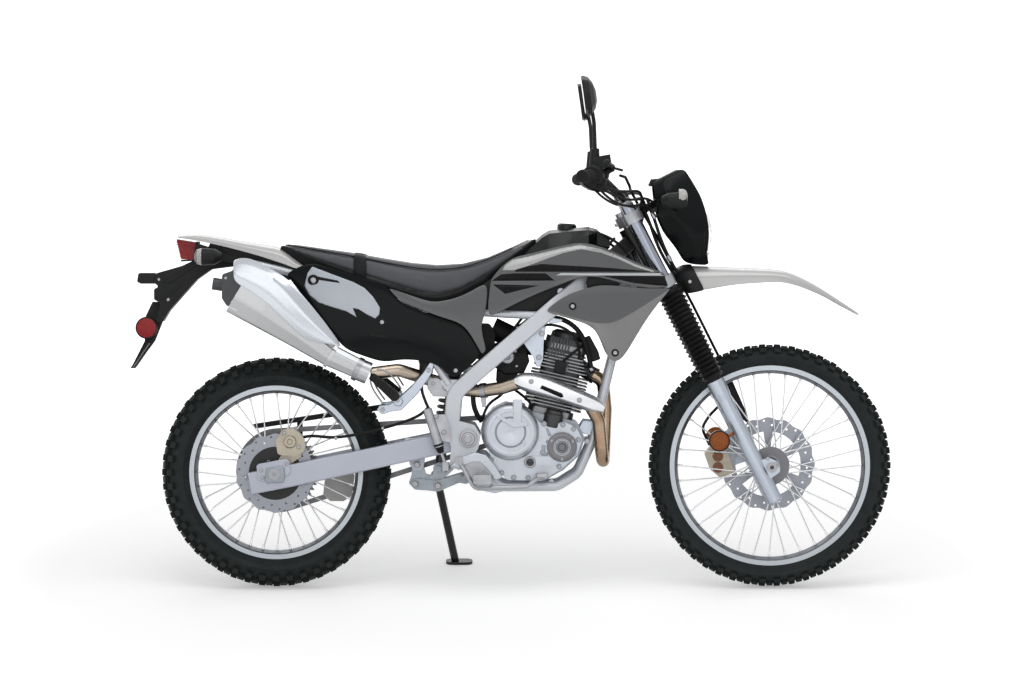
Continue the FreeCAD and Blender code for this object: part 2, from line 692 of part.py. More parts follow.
def rear_suspension():
    """One shock absorber with its coil spring, its reservoir, the rocker and the tie arm."""
    along = SHOCK_FOOT - SHOCK_TOP
    length = along.Length
    way = along.normalize()
    body = turned_along([(0, 0), (0, 20), (50, 20), (54, 34), (64, 34), (66, 16), (196, 16), (198, 36),
                         (206, 36), (208, 14), (length, 14), (length, 0)], SHOCK_TOP, way)
    coil_radius, wire_radius, turns = 29.0, 5.0, 7
    seat_low, seat_high = 64.0, 198.0
    start = SHOCK_TOP + way * (seat_low + wire_radius + SEAT_GAP)
    height = seat_high - seat_low - 2 * (wire_radius + SEAT_GAP)
    helix = Part.makeHelix(height / turns, height, coil_radius)
    section = Part.Wire([Part.makeCircle(wire_radius, Vector(coil_radius, 0, 0), Y_AXIS)])
    spring = Part.Wire(helix.Edges).makePipeShell([section], True, True)
    spring.Placement = FreeCAD.Placement(start, FreeCAD.Rotation(Vector(0, 0, 1), way))
    eye = rod(SHOCK_FOOT - Y_AXIS * 16, SHOCK_FOOT + Y_AXIS * 16, 16.0)
    top_eye = rod(SHOCK_TOP - Y_AXIS * 20.7, SHOCK_TOP + Y_AXIS * 20.7, 17.0)
    foot_bore = rod(SHOCK_FOOT - Y_AXIS * 40, SHOCK_FOOT + Y_AXIS * 40, LINK_PIN_RADIUS + HUB_CLEARANCE)
    return [fused([body, eye, top_eye]).cut(foot_bore), spring, linkage()]


def linkage():
    """The cast rocker under the swingarm, and the tie arm that runs forward to the frame."""
    rocker = plate([(380, 346), (394, 360), (410, 346), (418, 316), (440, 312), (438, 338), (455, 352),
                    (472, 338), (470, 290), (455, 268), (420, 272), (388, 274), (370, 292), (378, 316)],
                   -LINK_EAR_Y + 0.5, LINK_EAR_Y - 0.5, 8.0)
    eye_room = plate([(433, 358), (480, 358), (480, 310), (470, 304), (440, 304)], -16.5, 16.5, 0)
    arm = plate([(388, 306), (450, 300), (516, 320), (530, 322), (546, 306), (530, 290), (512, 294),
                 (455, 270), (388, 276), (372, 292)], LINK_EAR_Y, LINK_EAR_Y + 9.0, 8.0)
    pins = [rod(Vector(x, -38, z), Vector(x, 38, z), 9.0) for x, z in ((388, 292), (452, 286))]
    pins += [rod(at - Y_AXIS * 38, at + Y_AXIS * 38, LINK_PIN_RADIUS) for at in (LINK_TOP, SHOCK_FOOT)]
    front_pin = rod(LINK_FRONT - Y_AXIS * 90, LINK_FRONT + Y_AXIS * 90, 12.0)
    return fused([rocker.cut(eye_room)] + pair(arm) + pins + [front_pin])


def rear_axle():
    end = ARM_Y_REAR + ARM_WIDTH / 2
    low, high = REAR_AXLE - Y_AXIS * (end + 8.0), REAR_AXLE + Y_AXIS * (end + 8.0)
    shank = rod(low, high, REAR_AXLE_RADIUS)
    nuts = [rod(REAR_AXLE + Y_AXIS * (way * (end + SEAT_GAP)),
                REAR_AXLE + Y_AXIS * (way * (end + 12.0)), 16.0)
            for way in (-1, 1)]
    spacers = [
        rod(REAR_AXLE - Y_AXIS * (ARM_Y_REAR - ARM_WIDTH / 2 - 0.3),
            REAR_AXLE + Y_AXIS * (REAR_DISC_Y - DISC_THICKNESS), 15.0),
        rod(REAR_AXLE + Y_AXIS * (CHAIN_Y + SPROCKET_THICKNESS),
            REAR_AXLE + Y_AXIS * (ARM_Y_REAR - ARM_WIDTH / 2 - 0.3), 15.0),
    ]
    whole = fused([shank] + nuts + spacers)
    return whole.cut(rod(low - Y_AXIS * 10, high + Y_AXIS * 10, AXLE_BORE_RADIUS))


def chain_guides():
    """The guard over the top run and the block that the lower run passes through."""
    guard_side = [(-78, 452), (300, 510), (300, 494), (130, 470), (-60, 441)]
    guard = plate(guard_side, CHAIN_Y - 14, CHAIN_Y + 21, 4.0)
    inner = plate([(-90, 430), (310, 488), (310, 490), (120, 462), (-70, 436)], CHAIN_Y - 11, CHAIN_Y + 16, 0)
    _, _, (_, lower) = chain_sides()
    run = (lower[1] - lower[0]).normalize()
    at = lower[0] + run * 150.0
    block_side = [(-45, 36), (40, 52), (30, -12), (8, -26), (-30, -26), (-50, -8)]
    block = plate([(at.x + x, at.z + z) for x, z in block_side], CHAIN_Y - 15, CHAIN_Y + 15, 6.0)
    slot_low = Vector(at.x, CHAIN_Y - 11.5, at.z) - run * 90
    slot = Part.makeBox(180, 23, CHAIN_HEIGHT + 6)
    slot.Placement = FreeCAD.Placement(slot_low - Vector(0, 0, (CHAIN_HEIGHT + 6) / 2),
                                       FreeCAD.Rotation(Vector(1, 0, 0), Vector(run.x, 0, run.z)))
    arm = swingarm()
    posts = [plate([(x - 8, 330), (x + 8, 330), (x + 8, z), (x - 8, z)], CHAIN_Y + 18.5, CHAIN_Y + 22.5, 2.0)
             for x, z in ((60, 470), (250, 500))]
    lug_side = [(-18, 28), (18, 32), (18, 96), (-18, 96)]
    lug = plate([(at.x + x, at.z + z) for x, z in lug_side], CHAIN_Y + 14.5, CHAIN_Y + 24.0, 3.0)
    above, below = arm.copy(), arm.copy()
    above.translate(Vector(0, 0, SEAT_GAP))
    below.translate(Vector(0, 0, -SEAT_GAP))
    standing = [max(post.cut(above).Solids, key=lambda solid: solid.Volume) for post in posts]
    return [fused([guard.cut(inner)] + standing),
            fused([block.cut(slot), lug]).cut(below).cut(arm)]


# Engine and exhaust

CYLINDER_BASE = Vector(765.0, 0.0, 484.0)
BARREL_FINS = 11
HEAD_LOW = 26.0 + BARREL_FINS * FIN_PITCH + 2.0
PORT_Y = -4.0
PORT_REACH = 92.0


def on_cylinder(x, y, z):
    """A point given along the leaning cylinder's own axes."""
    tilt = math.radians(CYLINDER_TILT)
    return CYLINDER_BASE + Vector(x * math.cos(tilt) + z * math.sin(tilt), y,
                                  z * math.cos(tilt) - x * math.sin(tilt))


CASE_OUTLINE = [(600, 500), (592, 450), (596, 392), (618, 336), (646, 302), (745, 300),
                (802, 332), (846, 372),
                (862, 420), (842, 462), (812, 486), (735, 492), (700, 508), (640, 520)]


def crankcase():
    """The two halves with the left generator and sprocket covers."""
    block = plate(CASE_OUTLINE, -CASE_RIGHT, CASE_LEFT, 14.0)
    deck = rounded_block(on_cylinder(0, 0, 50 - SEAT_GAP), (240, 260, 100), 5.0,
                         on_cylinder(0, 0, 1) - CYLINDER_BASE)
    output = rod(Vector(DRIVE_X, CASE_LEFT - 4, DRIVE_Z), Vector(DRIVE_X, CHAIN_Y + 9, DRIVE_Z), 13.0)
    drive = sprocket(DRIVE_TEETH, CHAIN_Y, 10.0, Vector(DRIVE_X, 0, DRIVE_Z))
    generator = turned_along([(0, 0), (0, 68), (44, 66), (54, 52), (58, 0)],
                             Vector(785, CASE_LEFT, 402), Y_AXIS)
    belt_side = [(668, 496), (662, 420), (680, 350), (710, 326), (800, 322), (858, 400), (800, 480)]
    belt = plate(belt_side, CASE_LEFT,
                 CASE_LEFT + 30, 16.0)
    sump = plate([(640, 316), (760, 316), (745, 296), (655, 296)], -52, 46, 8.0)
    cover_low = CHAIN_Y + CHAIN_HALF_WIDTH + 4.0
    cover = plate([(594, 486), (640, 492), (676, 486), (682, 440), (676, 384), (640, 372), (594, 392),
                   (588, 440)], cover_low, cover_low + 9.0, 14.0)
    stand_offs = [rod(Vector(x, CASE_LEFT - 2, z), Vector(x, cover_low + 2, z), 8.0)
                  for x, z in ((670, 478), (668, 390))]
    return fused([block.cut(deck), generator, belt, sump, output, drive, cover] + stand_offs)


def clutch_cover():
    """The right cover: its flange, the round clutch bulge and the filter cover."""
    low = -CASE_RIGHT - SEAT_GAP
    flange = plate([(596, 494), (588, 448), (592, 392), (614, 334), (646, 306), (742, 304), (796, 336),
                    (840, 374), (854, 420), (838, 452), (800, 470), (772, 452), (735, 466), (705, 504),
                    (640, 516)], low - 26, low, 14.0)
    bulge = turned_along([(0, 0), (0, CLUTCH_RADIUS + 4), (34, CLUTCH_RADIUS + 1), (50, CLUTCH_RADIUS - 3),
                          (58, CLUTCH_RADIUS - 12), (58, CLUTCH_RADIUS - 34), (54, CLUTCH_RADIUS - 38),
                          (54, 0)], Vector(655, low, 440), Vector(0, -1, 0))
    filter_cover = turned_along([(0, 0), (0, 44), (36, 42), (44, 34), (44, 22), (40, 20), (40, 0)],
                                Vector(798, low, 398), Vector(0, -1, 0))
    rib = plate([(690, 372), (760, 372), (800, 360), (770, 344), (700, 352)], low - 34, low, 8.0)
    shaft = rod(Vector(668, low - 20, 505), Vector(668, low - 46, 505), 11.0)
    boss = rod(Vector(668, low - 40, 520), Vector(672, low - 40, 462), 9.0)
    return fused([flange, bulge, filter_cover, rib, shaft, boss])




def cylinder():
    """Finned barrel and head, leaning forward, with the cam cover, chain tunnel and plug."""
    pieces = [rounded_block(Vector(0, 0, 80), (112, 104, 160), 22)]
    pieces.append(rounded_block(Vector(0, 0, 8), (128, 118, 16), 20))
    for i in range(BARREL_FINS):
        height = 26 + i * FIN_PITCH
        pieces.append(rounded_block(Vector(2, 0, height), (162, 146, FIN_THICKNESS), 24))
    head_low = HEAD_LOW
    pieces.append(rounded_block(Vector(0, 0, head_low + 45), (116, 110, 90), 20))
    for i in range(6):
        height = head_low + 4 + i * FIN_PITCH
        shrink = 5.0 * i
        pieces.append(rounded_block(Vector(0, 0, height), (150 - shrink, 142 - shrink, FIN_THICKNESS), 20))
    pieces.append(rounded_block(Vector(0, 0, head_low + 66), (128, 118, 14), 26))
    pieces.append(turned_along([(0, 0), (0, 50), (34, 46), (42, 34), (44, 0)],
                               Vector(0, 0, head_low + 70), Vector(0, 0, 1)))
    pieces.append(rounded_block(Vector(6, 62, 108), (52, 26, 190), 8))
    pieces.append(rod(Vector(12, -50, head_low + 24), Vector(12, -88, head_low + 8), 8.0))
    pieces.append(rod(Vector(40, PORT_Y, head_low + 26), Vector(PORT_REACH, PORT_Y, head_low + 8), 22.0))
    pieces.append(rod(Vector(-40, 0, head_low + 34), Vector(-84, 0, head_low + 44), 21.0))
    whole = fused(pieces)
    whole.Placement = FreeCAD.Placement(CYLINDER_BASE, FreeCAD.Rotation(Y_AXIS, CYLINDER_TILT))
    return whole


def intake():
    """The throttle body and boot behind the head, and the air box between the spars."""
    start = on_cylinder(-84 - SEAT_GAP, 0, HEAD_LOW + 44)
    way = (on_cylinder(-84, 0, 44) - on_cylinder(-40, 0, 34)).normalize()
    throttle = rod(start, start + way * 60, 24.0)
    body = rounded_block(start + way * 34, (36, 84, 56), 10)
    boot = rod(start + way * 52, start + way * 130, 31.0)
    box = plate([(470, 738), (596, 738), (612, 712), (610, 642), (560, 640), (535, 662), (500, 672)],
                -66, 66, 14.0)
    shock_room = rod(SHOCK_TOP - Vector(0, 0, 60), SHOCK_TOP + Vector(-4, 0, 130), 44.0)
    return fused([throttle, body, boot, box.cut(shock_room)])


HEADER_LINE = [(921, 500, PORT_Y), (916, 384, -12), (914, 346, -48), (908, 384, -84), (900, 470, -96),
               (872, 519, -106), (690, 580, -116), (632, 562, -104), (570, 552, -84), (520, 556, -72),
               (404, 592, -84), (345, 612, -116), (268, 602, -128)]
SHIELD_SPAN = (5, 6)


def exhaust_header():
    """The pipe loops down in front, back up and along the right side to the muffler."""
    port = on_cylinder(PORT_REACH, PORT_Y, HEAD_LOW + 8)
    way = (port - on_cylinder(40, PORT_Y, HEAD_LOW + 26)).normalize()
    points = [port + way * SEAT_GAP, port + way * 34] + [Vector(x, y, z) for x, z, y in HEADER_LINE]
    line = pipe(points, HEADER_RADIUS, 38.0)
    flange = rod(points[0], points[0] + (points[1] - points[0]).normalize() * 10, 23.5)
    return fused([line, flange])


def muffler_wire(x, z, y, width, height, tilt):
    """A rounded section square to the muffler's own line."""
    back = Vector(-math.cos(tilt), 0, math.sin(tilt))
    up = Vector(math.sin(tilt), 0, math.cos(tilt))
    centre = Vector(x, y, z)
    corners = []
    for u, v in ((-0.55, -1), (0.55, -1), (1, -0.35), (1, 0.5), (0.5, 1), (-0.5, 1), (-1, 0.5), (-1, -0.35)):
        corners.append(centre + Y_AXIS * (u * width / 2) + up * (v * height / 2))
    return Part.Wire(path_edges(corners, 0.18 * min(width, height), closed=True)), back


def muffler():
    """A tapering can on the right, with its inlet cone, band, end cap and tail pipe."""
    tilt = math.radians(31.5)
    stations = [(250, 608, -128, 54, 54), (158, 652, -134, 60, 62), (60, 732, -144, 84, 104),
                (-20, 792, -148, 96, 134), (-92, 838, -150, 100, 148)]
    wires = []
    for x, z, y, width, height in stations:
        wire, back = muffler_wire(x, z, y, width, height, tilt)
        wires.append(wire)
    can = ruled(wires)
    band_wire, _ = muffler_wire(162, 650, -134, 68, 70, tilt)
    band = Part.Face(band_wire).extrude(back * 9)
    cap_points = [(-96, 914), (-112, 888), (-140, 878), (-141, 812), (-128, 792), (-100, 776), (-62, 812)]
    cap = plate(cap_points, -186, -114, 8.0)
    tail = tube(Vector(-120, -150, 845), Vector(-168, -150, 852), 17.0, 13.0)
    sleeve = tube(Vector(262, -128, 603), Vector(226, -131, 618), 31.0, HEADER_RADIUS + 1.0)
    can = can.cut(rod(Vector(275, -128, 600), Vector(236, -130, 615), HEADER_RADIUS + 1.0))
    return fused([can, band, cap, tail.cut(cap), sleeve])


def heat_shields():
    """The formed cover over the side pipe, and the big cover on the muffler."""
    ends = [Vector(HEADER_LINE[i][0], HEADER_LINE[i][2], HEADER_LINE[i][1]) for i in SHIELD_SPAN]
    start, end = ends
    span = (end - start).Length
    way = (end - start).normalize()
    low, high = 0.13 * span, 0.87 * span
    inner = HEADER_RADIUS + SEAT_GAP
    shield = turned_along([(low, inner), (low, inner + 2.5), (low + 6, inner + 6), (high - 6, inner + 6),
                           (high, inner + 2.5), (high, inner), (high - 6, inner + 3), (low + 6, inner + 3)],
                          start, way)
    keep = Part.makeBox(400, 60, 300)
    keep.translate(Vector(600, -178, 440))
    shield = shield.common(keep)
    outline = [(-108, 922), (-70, 926), (10, 892), (42, 864), (150, 742), (176, 702), (168, 690), (100, 712),
               (-96, 858)]
    y_face = -206.0
    cover = plate(outline, y_face, y_face + 3.0, 8.0)
    stand_offs = [rod(Vector(x, y_face + 2.0, z), Vector(x, -170.0, z), 6.0)
                  for x, z in ((-50, 840), (40, 775))]
    can = muffler()
    can.translate(Y_AXIS * -SEAT_GAP)
    return [shield, fused([cover] + [post.cut(can) for post in stand_offs])]


# Bodywork

# Points of the left panels: (x, z, y), in rows from the top edge down
SHROUD_ROWS = [
    [(604, 868, 88), (625, 895, 86), (660, 925, 84), (700, 932, 88), (750, 945, 96), (800, 958, 104),
     (850, 968, 112), (905, 955, 120), (950, 938, 128), (1000, 912, 138), (1050, 893, 148), (1076, 884, 153)],
    [(602, 863, 91), (640, 891, 93), (672, 899, 97), (705, 906, 104), (750, 925, 111), (800, 942, 119),
     (850, 951, 126), (905, 940, 134), (950, 926, 141), (1000, 905, 148), (1050, 887, 155), (1080, 878, 158)],
    [(600, 856, 92), (640, 857, 91), (672, 857, 93), (705, 857, 97), (755, 857, 104), (803, 866, 112),
     (850, 882, 120), (903, 880, 128), (950, 866, 136), (1000, 850, 145), (1050, 846, 153), (1089, 849, 158)],
    [(586, 754, 118), (620, 771, 114), (660, 792, 110), (705, 814, 108), (757, 836, 112), (806, 855, 119),
     (850, 873, 125), (902, 872, 133), (950, 857, 140), (1000, 844, 148), (1050, 841, 154), (1092, 842, 158)],
]
LOWER_SHROUD_ROWS = [
    [(757, 781, 120), (785, 803, 121), (815, 822, 123), (850, 834, 126), (875, 841, 128), (900, 847, 131),
     (925, 847, 134), (950, 846, 137), (985, 842, 142), (1020, 839, 146), (1060, 838, 152), (1092, 839, 158)],
    [(758, 776, 119), (785, 769, 118), (815, 761, 117), (850, 751, 117), (870, 745, 118), (890, 740, 119),
     (912, 740, 121), (935, 742, 124), (960, 753, 129), (1000, 777, 136), (1050, 808, 147), (1094, 836, 158)],
    [(759, 774, 120), (785, 766, 120), (815, 758, 120), (850, 747, 121), (872, 738, 122), (895, 718, 121),
     (912, 684, 119), (925, 642, 117), (950, 632, 119), (975, 655, 123), (1030, 758, 141), (1093, 834, 158)],
]
SIDE_COVER_ROWS = [
    [(320, 838, 121), (350, 829, 121), (400, 811, 120), (440, 799, 118), (480, 805, 114), (520, 817, 108),
     (560, 838, 100), (598, 862, 94), (582, 753, 119), (573, 740, 122), (577, 705, 128), (588, 668, 130)],
    [(320, 836, 122), (350, 815, 125), (400, 798, 126), (445, 782, 126), (489, 778, 124), (522, 777, 120),
     (551, 778, 118), (573, 783, 116), (569, 722, 127), (567, 712, 128), (573, 686, 130), (582, 662, 130.5)],
    [(321, 834, 122), (350, 801, 125), (400, 784, 127), (450, 763, 127), (499, 749, 127), (524, 737, 128),
     (541, 716, 129), (549, 703, 130), (556, 691, 130), (561, 683, 130), (569, 668, 130.5), (576, 656, 130.5)],
]
REAR_COVER_ROWS = [
    [(38, 882, 100), (70, 900, 99), (105, 911, 98), (150, 897, 104), (200, 882, 107), (250, 866, 110),
     (300, 850, 114), (324, 829, 119), (352, 797, 123.5), (400, 780, 124), (450, 759, 124), (497, 745, 124),
     (521, 733, 124.5), (537, 713, 126), (553, 687, 127.5), (570, 658, 128.5)],
    [(38, 879, 101), (68, 880, 105), (100, 873, 109), (140, 850, 114), (193, 826, 119), (250, 800, 123),
     (300, 780, 126), (332, 762, 128), (360, 738, 130), (400, 722, 131), (450, 700, 131), (488, 692, 130),
     (508, 690, 129), (524, 685, 128.5), (545, 668, 128.5), (566, 650, 128.5)],
    [(37, 875, 101), (63, 860, 108), (94, 834, 116), (128, 800, 122), (164, 768, 127), (206, 735, 129),
     (262, 712, 130), (316, 696, 130), (350, 690, 130), (400, 676, 130), (452, 656, 130), (482, 640, 129.5),
     (502, 636, 129), (518, 640, 128.5), (536, 646, 128.5), (562, 644, 128.5)],
    [(36, 872, 101), (60, 842, 109), (90, 802, 118), (120, 762, 124.5), (150, 724, 128.5), (180, 690, 129),
     (200, 668, 128.5), (250, 650, 125), (305, 631, 122), (345, 642, 123), (400, 640, 125), (455, 628, 127),
     (480, 600, 127.5), (500, 588, 127.5), (530, 612, 128), (560, 640, 128.5)],
]


def facets(corners):
    """A flat triangle, or nothing where its corners lie in line."""
    a, b, c = corners
    if (b - a).cross(c - a).Length < 0.5:
        return []
    return [Part.Face(Part.makePolygon([a, b, c, a]))]


def walled(outer, inner):
    """The closed solid between two grids of points with equal rows and columns."""
    last_row = len(outer) - 1
    last_column = len(outer[0]) - 1
    faces = []
    for i in range(last_row):
        for j in range(last_column):
            cells = ((i, j), (i + 1, j), (i + 1, j + 1), (i, j + 1))
            for p, q, r in ((cells[0], cells[1], cells[2]), (cells[0], cells[2], cells[3])):
                faces += facets([outer[m][n] for m, n in (p, q, r)])
                faces += facets([inner[m][n] for m, n in (r, q, p)])
    rim = [(0, j) for j in range(last_column)] + [(i, last_column) for i in range(last_row)]
    rim += [(last_row, j) for j in range(last_column, 0, -1)] + [(i, 0) for i in range(last_row, 0, -1)]
    for (i, j), (m, n) in zip(rim, rim[1:] + rim[:1]):
        faces += facets([outer[i][j], outer[m][n], inner[m][n]])
        faces += facets([outer[i][j], inner[m][n], inner[i][j]])
    shell = Part.makeShell(faces)
    shell.sewShape()
    solid = Part.makeSolid(shell)
    if solid.Volume < 0:
        solid.reverse()
    return solid


def panel(rows):
    """A creased sheet of the left bodywork."""
    outer = [[Vector(x, y, z) for x, z, y in row] for row in rows]
    inner = [[point - Y_AXIS * PANEL_THICKNESS for point in row] for row in outer]
    return walled(outer, inner)


def panel_y(rows, x, z):
    """Where a panel's outer face lies at a side-view point."""
    for upper, lower in zip(rows[:-1], rows[1:]):
        for j in range(len(upper) - 1):
            for a, b, c in ((upper[j], lower[j], lower[j + 1]), (upper[j], lower[j + 1], upper[j + 1])):
                area = (b[0] - a[0]) * (c[1] - a[1]) - (c[0] - a[0]) * (b[1] - a[1])
                if abs(area) < 1.0:
                    continue
                u = ((x - a[0]) * (c[1] - a[1]) - (c[0] - a[0]) * (z - a[1])) / area
                v = ((b[0] - a[0]) * (z - a[1]) - (x - a[0]) * (b[1] - a[1])) / area
                if min(u, v, 1 - u - v) >= 0:
                    return a[2] + u * (b[2] - a[2]) + v * (c[2] - a[2])
    raise ValueError("no panel at this point")


def boss(rows, x, z, y_carrier, radius=8.0, carrier=None):
    """A mounting post from a frame tube out to the middle of a panel's wall."""
    post = rod(Vector(x, y_carrier, z), Vector(x, panel_y(rows, x, z) - PANEL_THICKNESS / 2, z), radius)
    if carrier is not None:
        carrier = carrier.copy()
        carrier.translate(Y_AXIS * SEAT_GAP)
        post = post.cut(carrier)
    return outermost(post)


def outermost(shape):
    """The solid of a cut post that lies furthest out."""
    return max(shape.Solids, key=lambda solid: solid.CenterOfMass.y)


def shrouds():
    """The upper wing and the lower scoop on each side, open between them."""
    spar = spar_rail()
    wing = fused([panel(SHROUD_ROWS), boss(SHROUD_ROWS, 925, 905, 40.0, 8.0, spar)])
    scoop = fused([panel(LOWER_SHROUD_ROWS), boss(LOWER_SHROUD_ROWS, 812, 803, 70.0, 8.0, spar),
                   boss(LOWER_SHROUD_ROWS, 943, 655, 40.0, 6.0, cradle_tube())])
    return pair(wing) + pair(scoop)


def side_covers():
    start = SUBFRAME_Y + SUBFRAME_RADIUS + SEAT_GAP
    posts = [boss(SIDE_COVER_ROWS, x, z, start) for x, z in ((470, 778.4), (530, 774.1))]
    return pair(fused([panel(SIDE_COVER_ROWS)] + posts))


def rear_covers():
    start = SUBFRAME_Y + SUBFRAME_RADIUS + SEAT_GAP
    posts = [boss(REAR_COVER_ROWS, x, z, start) for x, z in ((150, 855.8), (300, 816.1))]
    return pair(fused([panel(REAR_COVER_ROWS)] + posts))


def tank_section(x, top, bottom, top_half, side_half, low_half):
    side_z = top - 0.42 * (top - bottom)
    points = [(low_half, bottom), (side_half, side_z - 10), (side_half - 4, side_z + 22), (top_half, top - 8),
              (0.5 * top_half, top), (0, top + 1)]
    ring = points + [(-y, z) for y, z in reversed(points[:-1])]
    return Part.makePolygon([Vector(x, y, z) for y, z in ring] + [Vector(x, *ring[0])])


TANK_STATIONS = [(600, 842, 800, 44, 52, 40), (680, 930, 806, 50, 70, 60), (742, 986, 816, 56, 74, 64),
                 (762, 998, 818, 58, 80, 68), (830, 1005, 866, 62, 90, 70), (872, 1008, 905, 64, 90, 66),
                 (896, 1002, 926, 43, 51, 42), (932, 968, 950, 36, 42, 33)]


def fuel_tank():
    """The tank and its black top cover, with the filler cap."""
    body = ruled([tank_section(*row) for row in TANK_STATIONS])
    cap = turned_along([(0, 0), (0, 27), (14, 27), (18, 22), (18, 0)],
                       Vector(812, 0, 1000), Vector(0.05, 0, 1))
    return fused([body, cap])


SEAT_STATIONS = [(12, 962, 956, 62), (60, 957, 938, 74), (130, 947, 909, 84), (210, 936, 878, 92),
                 (300, 920, 848, 100), (380, 907, 822, 104), (450, 901, 804, 104), (520, 905, 826, 96),
                 (590, 922, 872, 82), (660, 952, 922, 68), (728, 984, 976, 56)]


def seat_section(x, top, bottom, half):
    drop = top - bottom
    points = [(half, bottom), (half + 2, bottom + 0.45 * drop), (0.86 * half, top - 0.16 * drop),
              (0.5 * half, top - 0.02 * drop), (0, top)]
    ring = points + [(-y, z) for y, z in reversed(points[:-1])]
    return Part.makePolygon([Vector(x, y, z) for y, z in ring] + [Vector(x, *ring[0])])


def seat():
    return ruled([seat_section(*row) for row in SEAT_STATIONS])


def shell_section(x, top, low, half, wall):
    """A hanging fender section: flat crown, folded sides, open below."""
    outer = [(half, low), (half - 3, 0.5 * (top + low)), (0.72 * half, top - 4),
             (0.3 * half, top), (0, top + 1)]
    outer = outer + [(-y, z) for y, z in reversed(outer[:-1])]
    inner = [(y - math.copysign(min(wall, abs(y)), y) if abs(y) > 0.8 * half else y, z - wall)
             for y, z in outer]
    inner[0] = (half - wall, low)
    inner[-1] = (-half + wall, low)
    ring = outer + inner[::-1]
    return Part.makePolygon([Vector(x, y, z) for y, z in ring] + [Vector(x, *ring[0])])


def rear_fender():
    stations = [(84, 899, 888, 92), (48, 926, 898, 90), (8, 953, 912, 87), (-60, 963, 934, 82),
                (-140, 977, 954, 73), (-210, 988, 970, 65), (-274, 986, 980, 56)]
    shell = ruled([shell_section(*row, 4.0) for row in stations])
    carrier = undertail_tray()
    carrier.translate(Vector(0, 0, SEAT_GAP))
    posts = [rod(Vector(x, y, 890), Vector(x, y, z), 9.0).cut(carrier)
             for x, z in ((-40, 957), (-150, 976)) for y in (-36, 36)]
    return fused([shell] + [post.common(Part.makeBox(400, 200, 200, Vector(-350, -100, low)))
                            for post, low in zip(posts, (905, 905, 930, 930))])


UNDERTAIL_OUTLINE = [(46, 880), (-20, 902), (-110, 926), (-222, 962), (-228, 916), (-262, 900), (-332, 880),
                     (-340, 852), (-325, 842), (-340, 836), (-340, 806), (-322, 796), (-336, 742),
                     (-316, 744), (-298, 774), (-262, 815), (-220, 862), (-180, 890), (-110, 899), (-40, 880), (40, 858)]
TRAY_HALF = SUBFRAME_Y - SUBFRAME_RADIUS - SEAT_GAP
PLATE_LOW = Vector(-400, 0, 616)
PLATE_HIGH = Vector(-352, 0, 686)
PLATE_HOLE_SPACING = 146.0
PLATE_HOLE_RADIUS = 3.3


def undertail_tray():
    """The flat inner guard between the subframe rails."""
    return plate([(46, 880), (-20, 902), (-110, 926), (-222, 962), (-226, 932), (-110, 905), (40, 866)],
                 -TRAY_HALF, TRAY_HALF, 6.0)


def undertail():
    """The black tail piece with its plate lamp and the bracket that carries a number plate."""
    spine = plate(UNDERTAIL_OUTLINE, -38, 38, 8.0)
    lamp = plate([(-336, 880), (-384, 880), (-388, 856), (-378, 850), (-336, 850)], -30, 30, 5.0)
    bracket = plate([(-346, 800), (-328, 798), (-318, 745), (-340, 690), (-398, 612), (-406, 616),
                     (-368, 690), (-372, 745)], -14, 14, 4.0)
    way = (PLATE_HIGH - PLATE_LOW).normalize()
    face = Vector(-way.z, 0, way.x)
    middle = (PLATE_LOW + PLATE_HIGH) * 0.5
    sheet = rounded_block(middle, ((PLATE_HIGH - PLATE_LOW).Length, 178.0, 4.0), 6.0, face)
    whole = fused([spine, undertail_tray(), lamp, bracket, sheet])
    for way_y in (-1, 1):
        at = middle + Y_AXIS * (way_y * PLATE_HOLE_SPACING / 2)
        whole = whole.cut(rod(at - face * 20, at + face * 20, PLATE_HOLE_RADIUS))
    return whole


def tail_light():
    return plate([(-277, 975), (-222.6, 966), (-228.6, 917), (-264, 919)], -42, 42, 2.0)


def indicator(base, tip, lens_way):
    """A stalk, a round body and its lens, facing lens_way (+1 forward, -1 back)."""
    stalk = rod(base, tip, 8.0)
    body = turned_along([(0, 0), (0, 12), (18, 22), (46, 24), (52, 24), (70, 20), (72, 0)],
                        tip - Vector(lens_way * 32, 0, 0), Vector(lens_way, 0, 0))
    return fused([stalk, body])


def rear_indicators():
    start = TRAY_HALF + SEAT_GAP
    return pair(indicator(Vector(-178, start, 926), Vector(-178, start + 56, 926), -1))


def rear_reflectors():
    """Two side reflectors and one that faces back, on the plate bracket."""
    right = rod(Vector(-362, -14.3, 727), Vector(-362, -30, 727), REFLECTOR_RADIUS)
    return [right, mirrored(right)]


# Controls and brakes on the chassis

def footpegs():
    """A bracket on the pivot plate and a serrated peg, each side."""
    out = SPAR_Y + SPAR_WIDTH / 2 + SEAT_GAP
    bracket = plate([(530, 372), (566, 380), (600, 330), (596, 300), (556, 296), (530, 330)],
                    out, out + 12, 8.0)
    frame_bar = plate([(552, 326), (602, 326), (602, 300), (552, 300)], out + 10, out + 88, 5.0)
    well = plate([(560, 340), (594, 340), (594, 290), (560, 290)], out + 18, out + 80, 3.0)
    middle = plate([(552, 324), (602, 324), (602, 302), (552, 302)], out + 46, out + 52, 0)
    peg = frame_bar.cut(well).fuse(middle)
    return pair(fused([bracket, peg]))


